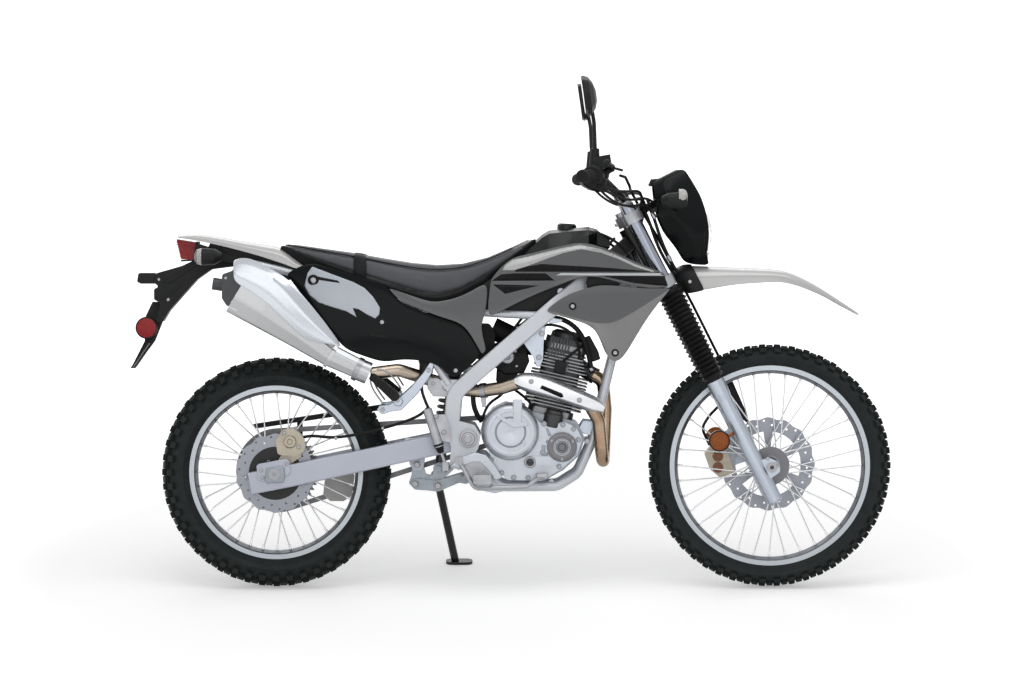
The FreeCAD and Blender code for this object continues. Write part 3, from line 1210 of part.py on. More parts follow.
def foot_levers():
    """The brake pedal on the right and the gear lever on the left."""
    out = SPAR_Y + SPAR_WIDTH / 2 + 14.0
    pedal_arm = pipe([Vector(512, -out - 6, 362), Vector(556, -out - 8, 284), Vector(700, -out - 8, 290),
                      Vector(736, -out - 8, 318)], 6.0, 24.0)
    pedal_hub = rod(Vector(512, -out + 14 - SEAT_GAP, 362), Vector(512, -out - 12, 362), 12.0)
    pad = rounded_block(Vector(742, -out - 8, 322), (34, 44, 10), 5)
    pedal = fused([pedal_arm, pedal_hub, pad])
    lever_y = CHAIN_Y + 44
    gear_line = [Vector(634, lever_y, 352), Vector(670, lever_y + 6, 338), Vector(736, lever_y + 18, 334)]
    gear_arm = pipe(gear_line, 5.5, 20.0)
    gear_hub = rod(Vector(634, CASE_LEFT + SEAT_GAP, 352), Vector(634, lever_y + 8, 352), 9.0)
    toe = rod(Vector(736, lever_y + 12, 334), Vector(736, lever_y + 52, 336), 9.0)
    return [pedal, fused([gear_arm, gear_hub, toe])]


def rear_brake():
    """The caliper over the rear disc, and the master cylinder behind the footpeg plate."""
    gap = 3.0
    outline = [(8, 372), (2, 410), (20, 440), (52, 446), (80, 420), (84, 384), (60, 366)]
    body = plate([(x, z + 4) for x, z in outline], REAR_DISC_Y - 26, REAR_DISC_Y + 22, 10.0)
    slot = rod(REAR_AXLE + Y_AXIS * (REAR_DISC_Y - DISC_THICKNESS / 2 - 1.5),
               REAR_AXLE + Y_AXIS * (REAR_DISC_Y + DISC_THICKNESS / 2 + 1.5), REAR_DISC_RADIUS + gap)
    bracket = plate([(-12, 330), (30, 392), (70, 392), (74, 372), (18, 330)],
                    REAR_DISC_Y - 19, REAR_DISC_Y - 12, 6.0)
    hole = rod(REAR_AXLE - Y_AXIS * 200, REAR_AXLE + Y_AXIS * 200, 16.0)
    caliper = fused([body.cut(slot), bracket.cut(hole)])
    out = -(SPAR_Y + SPAR_WIDTH / 2 + 13.0)
    top, foot = Vector(424, out, 505), Vector(458, out, 400)
    barrel = rod(top, foot, 13.0)
    push = rod(foot, Vector(474, out, 352), 4.5)
    holder = plate([(434, 488), (474, 490), (488, 455), (490, 412), (452, 420)], out - 3, out + 12.7, 6.0)
    clevis = rounded_block(Vector(475, out, 346), (20, 16, 24), 4)
    return [caliper, fused([barrel, push, holder, clevis])]


# Steering assembly

TUBE_TOP_S = HEAD_TUBE_LENGTH + 2 * CLAMP_GAP + CLAMP_THICKNESS + 18.0
BOOT_TOP_S = -CLAMP_GAP - CLAMP_THICKNESS - 2.0
SLIDER_LOW_S = AXLE_S - 94.0
SLIDER_TOP_S = SLIDER_LOW_S + SLIDER_LENGTH
CALIPER_OUTER_Y = FRONT_DISC_Y + 22.0


def fork_clamps():
    """Upper and lower yokes with the stem that runs in the head tube."""
    yokes = []
    for low in (HEAD_TUBE_LENGTH + CLAMP_GAP, -CLAMP_GAP - CLAMP_THICKNESS):
        high = low + CLAMP_THICKNESS
        corners = [steer(a, y, low) for a, y in ((-24, -36), (-24, 36), (2, LEG_Y), (44, LEG_Y),
                                                 (52, 40), (52, -40), (44, -LEG_Y), (2, -LEG_Y))]
        bridge = Part.Face(Part.Wire(path_edges(corners, 10, closed=True))).extrude(AXIS_UP * CLAMP_THICKNESS)
        lobes = [rod(steer(STEERING_OFFSET, y, low), steer(STEERING_OFFSET, y, high), TUBE_RADIUS + 10.0)
                 for y in (-LEG_Y, LEG_Y)]
        yoke = fused([bridge] + lobes)
        for y in (-LEG_Y, LEG_Y):
            yoke = yoke.cut(rod(steer(STEERING_OFFSET, y, low - 5), steer(STEERING_OFFSET, y, high + 5),
                                TUBE_RADIUS + SEAT_GAP))
        yokes.append(yoke)
    top = HEAD_TUBE_LENGTH + CLAMP_GAP + CLAMP_THICKNESS
    stem = rod(steer(0, 0, -CLAMP_GAP - CLAMP_THICKNESS + 1), steer(0, 0, top + 4), STEM_RADIUS)
    nut = rod(steer(0, 0, top), steer(0, 0, top + 12), 18.0)
    risers = []
    tall = BAR_S - SEAT_GAP - top + 1.0
    for way in (-1, 1):
        base = steer(STEERING_OFFSET, way * 44, top - 1.0)
        risers.append(rounded_block(base + AXIS_UP * (tall / 2), (36, 22, tall), 6, AXIS_UP))
    whole = fused(yokes + [stem, nut] + risers)
    return whole.cut(bar_rod(BAR_RADIUS + SEAT_GAP))


BAR_A = 21.0
BAR_S = 238.0
BAR_END_A = -58.0
BAR_END_S = 345.0
BAR_STRAIGHT = 215.0
BAR_SWEEP = 0.2286
BAR_DROOP = 0.1


def bar_points():
    """Handlebar centre line from the left end to the right."""
    outer, along = grip_line(1)
    left = [outer, outer + along * BAR_STRAIGHT, steer(BAR_A, 88, BAR_S)]
    right = [Vector(p.x, -p.y, p.z) for p in reversed(left)]
    return left + right


def bar_rod(radius):
    """The straight middle of the handlebar, as a cutter."""
    return rod(steer(BAR_A, -86, BAR_S), steer(BAR_A, 86, BAR_S), radius)


def handlebar():
    """The bent bar with its clamp caps."""
    bar = pipe(bar_points(), BAR_RADIUS, 60.0)
    caps = []
    for way in (-1, 1):
        caps.append(rounded_block(steer(BAR_A, way * 44, BAR_S + 9.5), (38, 22, 19), 6, AXIS_UP))
    return fused([bar] + caps)


def grip_line(way):
    """Inner and outer ends of a grip's axis: way is +1 for the left, -1 for the right."""
    outer = steer(BAR_END_A, way * BAR_HALF_WIDTH, BAR_END_S)
    along = (AXIS_FORWARD * BAR_SWEEP - AXIS_UP * BAR_DROOP - Y_AXIS * way).normalize()
    return outer, along


def grips():
    """Rubber grips, closed at their outer ends, with inner flanges."""
    made = []
    for way in (-1, 1):
        outer, along = grip_line(way)
        profile = [(-6, 0), (-6, GRIP_RADIUS - 2), (-4, GRIP_RADIUS), (GRIP_LENGTH - 6, GRIP_RADIUS),
                   (GRIP_LENGTH - 5, GRIP_RADIUS + 8), (GRIP_LENGTH, GRIP_RADIUS + 8), (GRIP_LENGTH, 0)]
        grip = turned_along(profile, outer, along)
        hole = rod(outer - along * 0.3, outer + along * 200, BAR_RADIUS + SEAT_GAP)
        made.append(grip.cut(hole))
    return made


def bar_controls():
    """Switch boxes, brake reservoir, lever perches and the two levers."""
    made = []
    for way in (-1, 1):
        outer, along = grip_line(way)
        start = outer + along * (GRIP_LENGTH + 1.0)
        housing = turned_along([(0, 0), (0, 24), (4, 30), (34, 30), (38, 22), (38, 0)], start, along)
        lower_box = rounded_block(start + along * 19 + AXIS_UP * -24 + AXIS_FORWARD * 4,
                              (40, 34, 26), 6, along)
        perch_at = start + along * 50
        perch = rounded_block(perch_at + AXIS_FORWARD * 12, (46, 30, 26), 6, along)
        pivot = perch_at + AXIS_FORWARD * 44 + AXIS_UP * -2
        ear = rod(perch_at + AXIS_FORWARD * 20, pivot + AXIS_FORWARD * 8, 9.0)
        tip = outer + AXIS_FORWARD * 74 + AXIS_UP * 4 + along * 12
        elbow = pivot - along * 44 + AXIS_FORWARD * 18
        lever = pipe([pivot, elbow, tip], 5.5, 26.0)
        ball = Part.makeSphere(9.0, tip)
        pieces = [housing, lower_box, perch, ear, lever, ball]
        if way == -1:
            tank_at = perch_at + AXIS_FORWARD * 34 + AXIS_UP * 26
            pieces.append(rounded_block(tank_at, (44, 56, 34), 7, AXIS_UP + AXIS_FORWARD * 0.3))
        link = rod(start + along * 30, perch_at, 15.0)
        whole = fused(pieces + [link, mirror(way)])
        made.append(whole.cut(rod(start - along * 10, start + along * 90, BAR_RADIUS + SEAT_GAP)))
    return made


def mirror(way):
    """A booted stem that screws into the perch, and a pointed oval housing."""
    outer, along = grip_line(way)
    base = outer + along * (GRIP_LENGTH + 51.0) + AXIS_UP * 12
    foot = base + Vector(2, way * 2, 68)
    bend = foot + Vector(-3, way * 16, 66)
    head = bend + Vector(-6, way * 26, 34)
    boot = turned_along([(0, 0), (0, 16), (64, 12), (68, 0)], base, foot - base)
    stem = pipe([foot - Vector(0, 0, 8), bend, head], 5.5, 30.0)
    centre = head + Vector(-8, way * 22, 40)
    sections = []
    for depth, scale in ((-17, 0.93), (-11, 1.0), (2, 0.93), (13, 0.66), (19, 0.3)):
        ring = []
        for u, v in ((-66, -12), (-52, -50), (8, -54), (58, -40), (78, 0), (64, 40), (10, 54), (-48, 46)):
            point = centre + Vector(depth, way * u * scale, v * scale)
            ring.append(point + Vector(-0.14 * v * scale, 0, 0))
        sections.append(Part.Wire(path_edges(ring, 16, closed=True)))
    return fused([boot, stem, ruled(sections)])


def fork_tubes():
    tubes = []
    for way in (-1, 1):
        low = steer(STEERING_OFFSET, way * LEG_Y, SLIDER_TOP_S - 120)
        high = steer(STEERING_OFFSET, way * LEG_Y, TUBE_TOP_S)
        tubes.append(rod(low, high, TUBE_RADIUS))
    return tubes


def fork_boots():
    """Pleated rubber boots from the lower yoke to the sliders."""
    boots = []
    low, high = SLIDER_TOP_S + SEAT_GAP, BOOT_TOP_S
    length = high - low
    pitch = (length - 16) / BOOT_RIBS
    bore = TUBE_RADIUS + SEAT_GAP
    profile = [(0, bore), (0, SLIDER_RADIUS + 4), (8, SLIDER_RADIUS + 4)]
    for i in range(BOOT_RIBS):
        at = 8 + i * pitch
        grow = BOOT_RADIUS - 3.0 * (1 - i / BOOT_RIBS)
        profile += [(at + 0.5 * pitch, grow), (at + pitch, grow - 7)]
    profile += [(length, TUBE_RADIUS + 8), (length, bore)]
    for way in (-1, 1):
        base = steer(STEERING_OFFSET, way * LEG_Y, low)
        boots.append(turned_along(profile, base, AXIS_UP))
    return boots


def fork_sliders():
    """Cast lower legs with the leading axle lugs and the caliper ears on the left."""
    legs = []
    for way in (-1, 1):
        low = steer(STEERING_OFFSET, way * LEG_Y, SLIDER_LOW_S)
        body = turned_along([(0, 0), (0, 17), (5, SLIDER_RADIUS - 1), (SLIDER_LENGTH - 60, SLIDER_RADIUS - 1),
                             (SLIDER_LENGTH - 40, SLIDER_RADIUS + 2), (SLIDER_LENGTH, SLIDER_RADIUS + 3),
                             (SLIDER_LENGTH, 0)], low, AXIS_UP)
        inner, outer = LEG_Y - 17, LEG_Y + 15
        y_low, y_high = (inner, outer) if way > 0 else (-outer, -inner)
        shape = [(STEERING_OFFSET, AXLE_S + 34), (AXLE_A + 6, AXLE_S + 26), (AXLE_A + 24, AXLE_S + 4),
                 (AXLE_A + 16, AXLE_S - 22), (STEERING_OFFSET, AXLE_S - 30)]
        lug = steer_plate(shape, y_low, y_high, 10.0)
        pieces = [body, lug]
        if way > 0:
            ear = steer_plate([(STEERING_OFFSET, AXLE_S + 150), (-42, AXLE_S + 118), (-52, AXLE_S + 40),
                               (STEERING_OFFSET, AXLE_S + 30)], CALIPER_OUTER_Y + SEAT_GAP, LEG_Y - 6, 8.0)
            pieces.append(ear)
        leg = fused(pieces)
        bore = rod(low + AXIS_UP * (SLIDER_LENGTH - 120 - SEAT_GAP), low + AXIS_UP * (SLIDER_LENGTH + 5),
                   TUBE_RADIUS + SEAT_GAP)
        axle_hole = rod(FRONT_AXLE - Y_AXIS * 200, FRONT_AXLE + Y_AXIS * 200,
                        FRONT_AXLE_RADIUS + HUB_CLEARANCE)
        legs.append(leg.cut(bore).cut(axle_hole))
    return legs


def front_axle():
    end = LEG_Y + 15
    shank = rod(FRONT_AXLE - Y_AXIS * (end + 6), FRONT_AXLE + Y_AXIS * (end + 6), FRONT_AXLE_RADIUS)
    heads = [rod(FRONT_AXLE + Y_AXIS * (way * (end + SEAT_GAP)),
                 FRONT_AXLE + Y_AXIS * (way * (end + 10)), 14.0)
             for way in (-1, 1)]
    inner = LEG_Y - 17 - SEAT_GAP
    hub_end = FRONT_DISC_Y + DISC_THICKNESS
    spacers = [rod(FRONT_AXLE + Y_AXIS * (way * hub_end), FRONT_AXLE + Y_AXIS * (way * inner), 14.0)
               for way in (-1, 1)]
    whole = fused([shank] + heads + spacers)
    return whole.cut(rod(FRONT_AXLE - Y_AXIS * 200, FRONT_AXLE + Y_AXIS * 200, AXLE_BORE_RADIUS))


def front_fender():
    """The high fender under the lower yoke, rising over the wheel and dipping at its beak."""
    under = BOOT_TOP_S + 0.5
    stations = [(-6, under, -58, 46), (54, under, -70, 57), (60, -24, -72, 58),
                (74, 0, -76, 84), (104, -12, -88, 84), (188, -58, -110, 82), (276, -106, -147, 78),
                (336, -144, -184, 72), (391, -212, -240, 56), (430, -276, -294, 38), (462, -334, -342, 18)]
    sections = []
    for a, top, low, half in stations:
        wall = 3.5
        outer = [(half, low), (half - 2, low + 0.4 * (top - low)), (0.66 * half, top - 3), (0.25 * half, top),
                 (0, top + 1)]
        outer = outer + [(-y, s) for y, s in reversed(outer[:-1])]
        inner = [(y * (half - wall) / half, max(s - wall, low)) for y, s in outer]
        ring = outer + inner[::-1]
        points = [steer(a, y, s) for y, s in ring]
        sections.append(Part.makePolygon(points + points[:1]))
    return ruled(sections)


# The mask at rising heights: (s, back edge, its half width, widest place, half width, front, half width)
COWL_LEVELS = [
    (-33, 150, 34, 152, 36, 154, 36),
    (-4, 98, 52, 128, 62, 163, 54),
    (49, 95, 72, 140, 92, 195, 84),
    (102, 84, 88, 136, 112, 212, 66),
    (150, 86, 98, 130, 118, 219, 58),
    (200, 101, 92, 136, 110, 216, 52),
    (236, 114, 74, 150, 88, 212, 44),
    (246, 122, 58, 152, 66, 186, 42),
]
COWL_WALL = 4.0


def cowl_solid(levels):
    sections = []
    for s, back, back_half, middle, middle_half, front, front_half in levels:
        side = [(back, back_half), (middle, middle_half), (front, front_half)]
        points = [steer(a, y, s) for a, y in side + [(a, -y) for a, y in reversed(side)]]
        sections.append(Part.makePolygon(points + points[:1]))
    return ruled(sections)


def headlight_cowl():
    """A faceted mask round the headlamp, open behind."""
    hollow = []
    for s, back, back_half, middle, middle_half, front, front_half in COWL_LEVELS[1:-1]:
        flare = 12.0 * (middle_half - back_half) / (middle - back)
        hollow.append((s, back - 12.0, back_half - COWL_WALL - flare, middle, middle_half - COWL_WALL,
                       front - COWL_WALL, front_half - COWL_WALL))
    return cowl_solid(COWL_LEVELS).cut(cowl_solid(hollow))


def headlight_lens():
    """The six-sided lamp glass, bowed out in front of the mask."""
    levels = []
    for s, width in ((98, 62), (49, 80), (-6, 50)):
        for low, high in zip(COWL_LEVELS[:-1], COWL_LEVELS[1:]):
            if low[0] <= s <= high[0]:
                share = (s - low[0]) / (high[0] - low[0])
                levels.append((s, low[5] + share * (high[5] - low[5]) + SEAT_GAP, width))
    bow = (3.0, 9.0, 12.0, 9.0, 3.0)
    spread = (-1.0, -0.55, 0.0, 0.55, 1.0)
    back = [[steer(a, width * k, s) for k in spread] for s, a, width in levels]
    front = [[point + AXIS_FORWARD * reach for point, reach in zip(row, bow)] for row in back]
    return walled(front, back)


def instrument():
    """The meter behind the screen, on its stay, with the two mask brackets."""
    body = rounded_block(Vector(1083, 0, 1109), (42, 108, 34), 8, Vector(0, 0, 1))
    back = 52 + SEAT_GAP
    stay = steer_plate([(back, 192), (96, 196), (116, 202), (124, 192), (100, 180), (back, 172)], -30, 30, 4.0)
    arms = steer_plate([(76, 178), (94.1, 178), (90.5, 166), (76, 166)], -101, 101)
    return fused([body, stay, arms])


def front_indicators():
    """The front signals, their stalks trimmed to the mask's flanks."""
    mask = cowl_solid(COWL_LEVELS)
    mask.translate(Y_AXIS * 0.4)
    return pair(outermost(indicator(steer(140, 100, 172), steer(140, 150, 172), 1).cut(mask)))


def front_caliper():
    """The brake caliper behind the left fork leg, over the disc's rear edge."""
    outline = [(-40, AXLE_S + 22), (-84, AXLE_S + 28), (-98, AXLE_S + 60), (-92, AXLE_S + 108),
               (-56, AXLE_S + 124), (-30, AXLE_S + 110)]
    body = steer_plate(outline, FRONT_DISC_Y - 24, CALIPER_OUTER_Y, 10.0)
    slot = rod(FRONT_AXLE + Y_AXIS * (FRONT_DISC_Y - DISC_THICKNESS / 2 - 1.5),
               FRONT_AXLE + Y_AXIS * (FRONT_DISC_Y + DISC_THICKNESS / 2 + 1.5), FRONT_DISC_RADIUS + 3.0)
    return body.cut(slot)


def fork_reflectors():
    """Amber side reflectors on small brackets behind the sliders."""
    made = []
    for way in (-1, 1):
        centre = steer(-42, way * (LEG_Y + 3), AXLE_S + 131)
        disc = rod(centre, centre + Y_AXIS * (way * 9), REFLECTOR_RADIUS)
        back = STEERING_OFFSET - SLIDER_RADIUS + 1.0 - SEAT_GAP
        stay = rod(steer(back, way * LEG_Y, AXLE_S + 131), steer(-42, way * LEG_Y, AXLE_S + 131), 4.5)
        made.append(fused([disc, stay]))
    return made


def brake_hose():
    """The front brake hose, clipped from the reservoir down the left leg to the caliper."""
    points = [steer(40, -196, 300), steer(52, -150, 290), steer(54, -60, 262), steer(54, 30, 252),
              steer(56, 92, 206), steer(64, 100, 100), steer(66, 118, -30), steer(68, 112, -120),
              steer(68, 112, -300), steer(30, 130, -400), steer(-30, 130, -420), steer(-66, 100, -440),
              steer(-68, 76, AXLE_S + 121)]
    return pipe(points, 4.0, 40.0)


# Side stand

def stand_geometry():
    """Deployed foot point on the ground, leg direction, folded direction and hinge axis."""
    foot = Vector(STAND_FOOT_X, STAND_FOOT_Y, STAND_FOOT_Y * math.tan(LEAN_RAD))
    down = (foot - STAND_PIVOT).normalize()
    back = Vector(-0.985, 0.06, 0.16).normalize()
    axis = down.cross(back).normalize()
    folded = math.degrees(down.getAngle(back))
    return foot, down, axis, folded


def side_stand():
    """A forged eye, a tube leg and a flat foot that lies on the ground."""
    foot, down, axis, _ = stand_geometry()
    ground_up = Vector(0, -math.sin(LEAN_RAD), math.cos(LEAN_RAD))
    sole = rounded_block(foot + Vector(10, 0, 0) + ground_up * (STAND_FOOT_THICKNESS / 2),
                         (76, 46, STAND_FOOT_THICKNESS), 20.0, ground_up)
    leg = rod(STAND_PIVOT + down * 12, foot + down * 4, STAND_TUBE_RADIUS)
    eye = rod(STAND_PIVOT - axis * 9, STAND_PIVOT + axis * 9, 19.0)
    whole = fused([leg, eye, sole])
    ground = Part.makeBox(600, 600, 40)
    ground.translate(Vector(-300, -300, -40))
    level = FreeCAD.Placement(foot, FreeCAD.Rotation(Vector(0, 0, 1), ground_up))
    ground.Placement = level.multiply(ground.Placement)
    return whole.cut(ground).cut(rod(STAND_PIVOT - axis * 40, STAND_PIVOT + axis * 40, 6.0 + HUB_CLEARANCE))


def stand_mount():
    """An ear and a pin that carry the side stand, on the lower left of the frame."""
    _, _, axis, _ = stand_geometry()
    pin = turned_along([(0, 0), (0, 20), (7.5, 20), (7.5, 6), (32, 6), (32, 12), (37, 12), (37, 0)],
                       STAND_PIVOT - axis * 22, axis)
    arm = rod(STAND_PIVOT - axis * 24, Vector(506, 106, 350), 11.0)
    room = rod(STAND_PIVOT - axis * 18, STAND_PIVOT + axis * 10, 26.0)
    return pin.fuse(arm.cut(room))


PARTS = {
    "frame": frame, "swingarm": swingarm,
    "chassis_axles": lambda: [pivot_bolt(), rear_axle()],
    "rear_suspension": rear_suspension,
    "crankcase": crankcase, "clutch_cover": clutch_cover, "cylinder": cylinder, "intake": intake,
    "exhaust_header": exhaust_header, "muffler": muffler, "heat_shields": heat_shields,
    "fuel_tank": fuel_tank, "shrouds": shrouds, "side_covers": side_covers, "rear_covers": rear_covers,
    "seat": seat, "rear_fender": rear_fender, "undertail": undertail,
    "rear_lights": lambda: [tail_light()] + rear_indicators() + rear_reflectors(),
    "chain": chain, "chain_guides": chain_guides,
    "foot_controls": lambda: footpegs() + foot_levers(),
    "rear_brake": rear_brake,
    "fork_clamps": fork_clamps, "fork_tubes": fork_tubes, "fork_boots": fork_boots,
    "fork_sliders": fork_sliders, "front_axle": front_axle, "front_fender": front_fender,
    "headlight_cowl": headlight_cowl, "headlight_lens": headlight_lens, "instrument": instrument,
    "front_lights": lambda: front_indicators() + fork_reflectors(),
    "handlebar": handlebar, "grips": grips, "bar_controls": bar_controls,
    "front_caliper": front_caliper, "brake_hose": brake_hose,
    "front_tyre": front_tyre, "front_rim": lambda: rim(FRONT_RIM_RADIUS, FRONT_BEAD, FRONT_AXLE),
    "front_hub": front_hub,
    "front_disc": lambda: petal_disc(FRONT_DISC_RADIUS, FRONT_DISC_Y, 26.0, 16, 6, FRONT_AXLE),
    "rear_tyre": rear_tyre, "rear_rim": lambda: rim(REAR_RIM_RADIUS, REAR_BEAD, REAR_AXLE),
    "rear_hub": rear_hub,
    "rear_disc": lambda: petal_disc(REAR_DISC_RADIUS, REAR_DISC_Y, 26.0, 14, 5, REAR_AXLE),
    "rear_sprocket": lambda: sprocket(REAR_TEETH, CHAIN_Y, 28.0, REAR_AXLE),
    "side_stand": side_stand,
}


def stand_up(shapes):
    """Leans every piece to the left about the ground line and centres the whole over the origin."""
    turn = FreeCAD.Rotation(Vector(1, 0, 0), -LEAN)
    placed = {}
    box = FreeCAD.BoundBox()
    for name, shape in shapes.items():
        leaned = shape.copy()
        leaned.Placement = FreeCAD.Placement(Vector(0, 0, 0), turn).multiply(leaned.Placement)
        placed[name] = leaned
        box.add(leaned.optimalBoundingBox(True, False))
    shift = Vector(-box.Center.x, -box.Center.y, 0)
    for shape in placed.values():
        shape.translate(shift)
    return placed, shift


def build(names=None):
    shapes = {}
    for name, make in PARTS.items():
        if names and name not in names:
            continue
        made = make()
        shapes[name] = Part.makeCompound(made) if isinstance(made, list) else made
    return shapes


def main():
    os.makedirs("parts", exist_ok=True)
    placed, _ = stand_up(build())
    for name, shape in placed.items():
        shape.exportStep(os.path.join("parts", name + ".step"))


if __name__ == "__main__":
    main()
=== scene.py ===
import json
import math

import bmesh
import bpy
from mathutils import Matrix, Vector
from mathutils.bvhtree import BVHTree


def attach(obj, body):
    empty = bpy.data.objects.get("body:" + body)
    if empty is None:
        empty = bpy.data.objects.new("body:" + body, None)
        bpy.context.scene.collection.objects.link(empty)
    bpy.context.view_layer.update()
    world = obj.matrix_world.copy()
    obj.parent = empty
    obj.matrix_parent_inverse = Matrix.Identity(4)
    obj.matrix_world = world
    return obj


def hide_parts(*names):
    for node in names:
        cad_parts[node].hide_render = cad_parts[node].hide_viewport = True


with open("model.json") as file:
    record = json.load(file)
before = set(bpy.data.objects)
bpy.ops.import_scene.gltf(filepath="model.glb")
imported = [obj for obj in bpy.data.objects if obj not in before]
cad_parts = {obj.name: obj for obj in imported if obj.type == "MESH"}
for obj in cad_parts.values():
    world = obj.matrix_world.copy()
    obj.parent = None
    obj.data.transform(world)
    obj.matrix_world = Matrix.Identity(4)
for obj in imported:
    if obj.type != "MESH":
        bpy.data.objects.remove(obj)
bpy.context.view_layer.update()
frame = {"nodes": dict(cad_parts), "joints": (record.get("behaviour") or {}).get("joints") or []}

# Places. Points on the motorcycle are (x, y, z) in millimetres in its own upright plane:
# x forward of the rear axle, y to the rider's left, z up from the ground.
# Points on the steering are (a, y, s): a forward of the steering axis, s up along it.

MM = 0.001
JOINTS = {joint["name"]: joint for joint in frame["joints"]}
FORWARD = Vector((1, 0, 0))
LEFT = Vector(JOINTS["rear_wheel"]["axis"]).normalized()
UP = FORWARD.cross(LEFT)
REAR_AXLE = Vector(JOINTS["rear_wheel"]["pos_m"])
FRONT_AXLE = Vector(JOINTS["front_wheel"]["pos_m"])
HEAD = Vector(JOINTS["steering"]["pos_m"])
STEER_UP = Vector(JOINTS["steering"]["axis"]).normalized()
STEER_FORWARD = LEFT.cross(STEER_UP)
WHEELBASE = 1380.0
FRONT_AXLE_Z = 341.69
ORIGIN = FRONT_AXLE - (FORWARD * WHEELBASE + UP * FRONT_AXLE_Z) * MM


def bike(x, y, z):
    return ORIGIN + (FORWARD * x + LEFT * y + UP * z) * MM


def steer(a, y, s):
    return HEAD + (STEER_FORWARD * a + LEFT * y + STEER_UP * s) * MM


def to_bike(point):
    offset = (point - ORIGIN) / MM
    return Vector((offset.dot(FORWARD), offset.dot(LEFT), offset.dot(UP)))


def to_steer(point):
    offset = (point - HEAD) / MM
    return Vector((offset.dot(STEER_FORWARD), offset.dot(LEFT), offset.dot(STEER_UP)))


# Materials


def new_node(tree, kind, inputs=None, **settings):
    """Adds a node with its settings, and feeds its inputs from sockets or plain values."""
    made = tree.nodes.new(kind)
    for key, value in settings.items():
        setattr(made, key, value)
    for key, value in (inputs or {}).items():
        if isinstance(value, bpy.types.NodeSocket):
            tree.links.new(value, made.inputs[key])
        else:
            made.inputs[key].default_value = value
    return made


class Finish:
    """A procedural material: layers over one principled shader, in object space."""

    def __init__(self, name, color, rough, metal=0.0, **sockets):
        self.material = bpy.data.materials.new(name)
        self.material.use_nodes = True
        self.tree = self.material.node_tree
        self.shader = self.tree.nodes["Principled BSDF"]
        self.base = (*color, 1.0)
        self.rough = rough
        self.normal = None
        values = {"Base Color": self.base, "Roughness": rough, "Metallic": metal}
        values.update((socket.replace("_", " "), value) for socket, value in sockets.items())
        for socket, value in values.items():
            self.shader.inputs[socket].default_value = value
        self.place = self.node("ShaderNodeTexCoord").outputs["Object"]

    def node(self, kind, inputs=None, **settings):
        return new_node(self.tree, kind, inputs, **settings)

    def feed(self, value, socket):
        self.tree.links.new(value, self.shader.inputs[socket])
        return self

    def noise(self, scale, detail, stretch=None):
        place = self.place
        if stretch:
            place = self.node("ShaderNodeMapping", {"Vector": place, "Scale": stretch}).outputs[0]
        inputs = {"Vector": place, "Scale": scale, "Detail": detail}
        return self.node("ShaderNodeTexNoise", inputs).outputs["Fac"]

    def cells(self, scale, feature="F1"):
        inputs = {"Vector": self.place, "Scale": scale}
        return self.node("ShaderNodeTexVoronoi", inputs, feature=feature).outputs["Distance"]

    def vector(self, operation, *inputs):
        made = self.node("ShaderNodeVectorMath", dict(enumerate(inputs)), operation=operation)
        return made.outputs["Value" if operation in ("DOT_PRODUCT", "LENGTH") else "Vector"]

    def reach(self, centre, axis):
        """Metres from the line through a point along an axis, as a socket."""
        offset = self.vector("SUBTRACT", self.place, centre)
        return self.vector("LENGTH", self.vector("CROSS_PRODUCT", offset, axis))

    def ramp(self, value, low, high, to_low=0.0, to_high=1.0):
        return self.node("ShaderNodeMapRange", {"Value": value, "From Min": low, "From Max": high,
                                                "To Min": to_low, "To Max": to_high}).outputs[0]

    def maths(self, operation, a, b=0.0):
        return self.node("ShaderNodeMath", {0: a, 1: b}, operation=operation).outputs[0]

    def tint(self, color, mask):
        """Lays another colour over the base where mask is 1."""
        mix = self.node("ShaderNodeMix", {0: mask, 6: self.base, 7: (*color, 1.0)}, data_type="RGBA")
        self.base = mix.outputs[2]
        return self.feed(self.base, "Base Color")

    def mottle(self, color, scale, amount):
        """Colour that drifts towards another in soft patches."""
        return self.tint(color, self.ramp(self.noise(scale, 4.0), 0.35, 0.7, 0.0, amount))

    def uneven(self, scale, spread, detail=4.0, stretch=None):
        """Roughness that wanders about its mean."""
        fac = self.noise(scale, detail, stretch)
        lowest = max(self.rough - spread, 0.02)
        return self.feed(self.ramp(fac, 0.25, 0.75, lowest, self.rough + spread), "Roughness")

    def bump(self, height, depth):
        """Relief of depth millimetres, added to the relief so far."""
        inputs = {"Height": height, "Distance": depth * MM}
        if self.normal:
            inputs["Normal"] = self.normal
        self.normal = self.node("ShaderNodeBump", inputs).outputs["Normal"]
        return self.feed(self.normal, "Normal")


def moulded(name, color, rough, shade, depth=0.02, **sockets):
    """Injection-moulded plastic: faint flow marks and a fine texture."""
    finish = Finish(name, color, rough, **sockets)
    finish.mottle(shade, 9.0, 0.35).uneven(60.0, 0.05)
    return finish.bump(finish.noise(1400.0, 2.0), depth).material


def cast(name, color, rough, shade, metal=0.9, depth=0.16):
    """Cast metal: a sandy skin with darker hollows."""
    finish = Finish(name, color, rough, metal)
    finish.mottle(shade, 26.0, 0.5).uneven(90.0, 0.08)
    finish.bump(finish.noise(520.0, 5.0), depth)
    return finish.bump(finish.cells(312.0), depth * 0.5).material


def brushed(name, color, rough, shade, stretch=(4.0, 260.0, 260.0)):
    """Drawn or brushed metal with hair lines along one direction."""
    finish = Finish(name, color, rough, 1.0)
    finish.mottle(shade, 7.0, 0.35).uneven(6.0, 0.1, 6.0, stretch)
    return finish.bump(finish.noise(8.0, 6.0, stretch), 0.02).material


def painted(name, color, rough, shade, metal=0.25, **sockets):
    """Sprayed paint with the faint ripple of its surface."""
    finish = Finish(name, color, rough, metal, **sockets)
    finish.mottle(shade, 12.0, 0.3).uneven(40.0, 0.04)
    return finish.bump(finish.noise(330.0, 2.0), 0.03).material


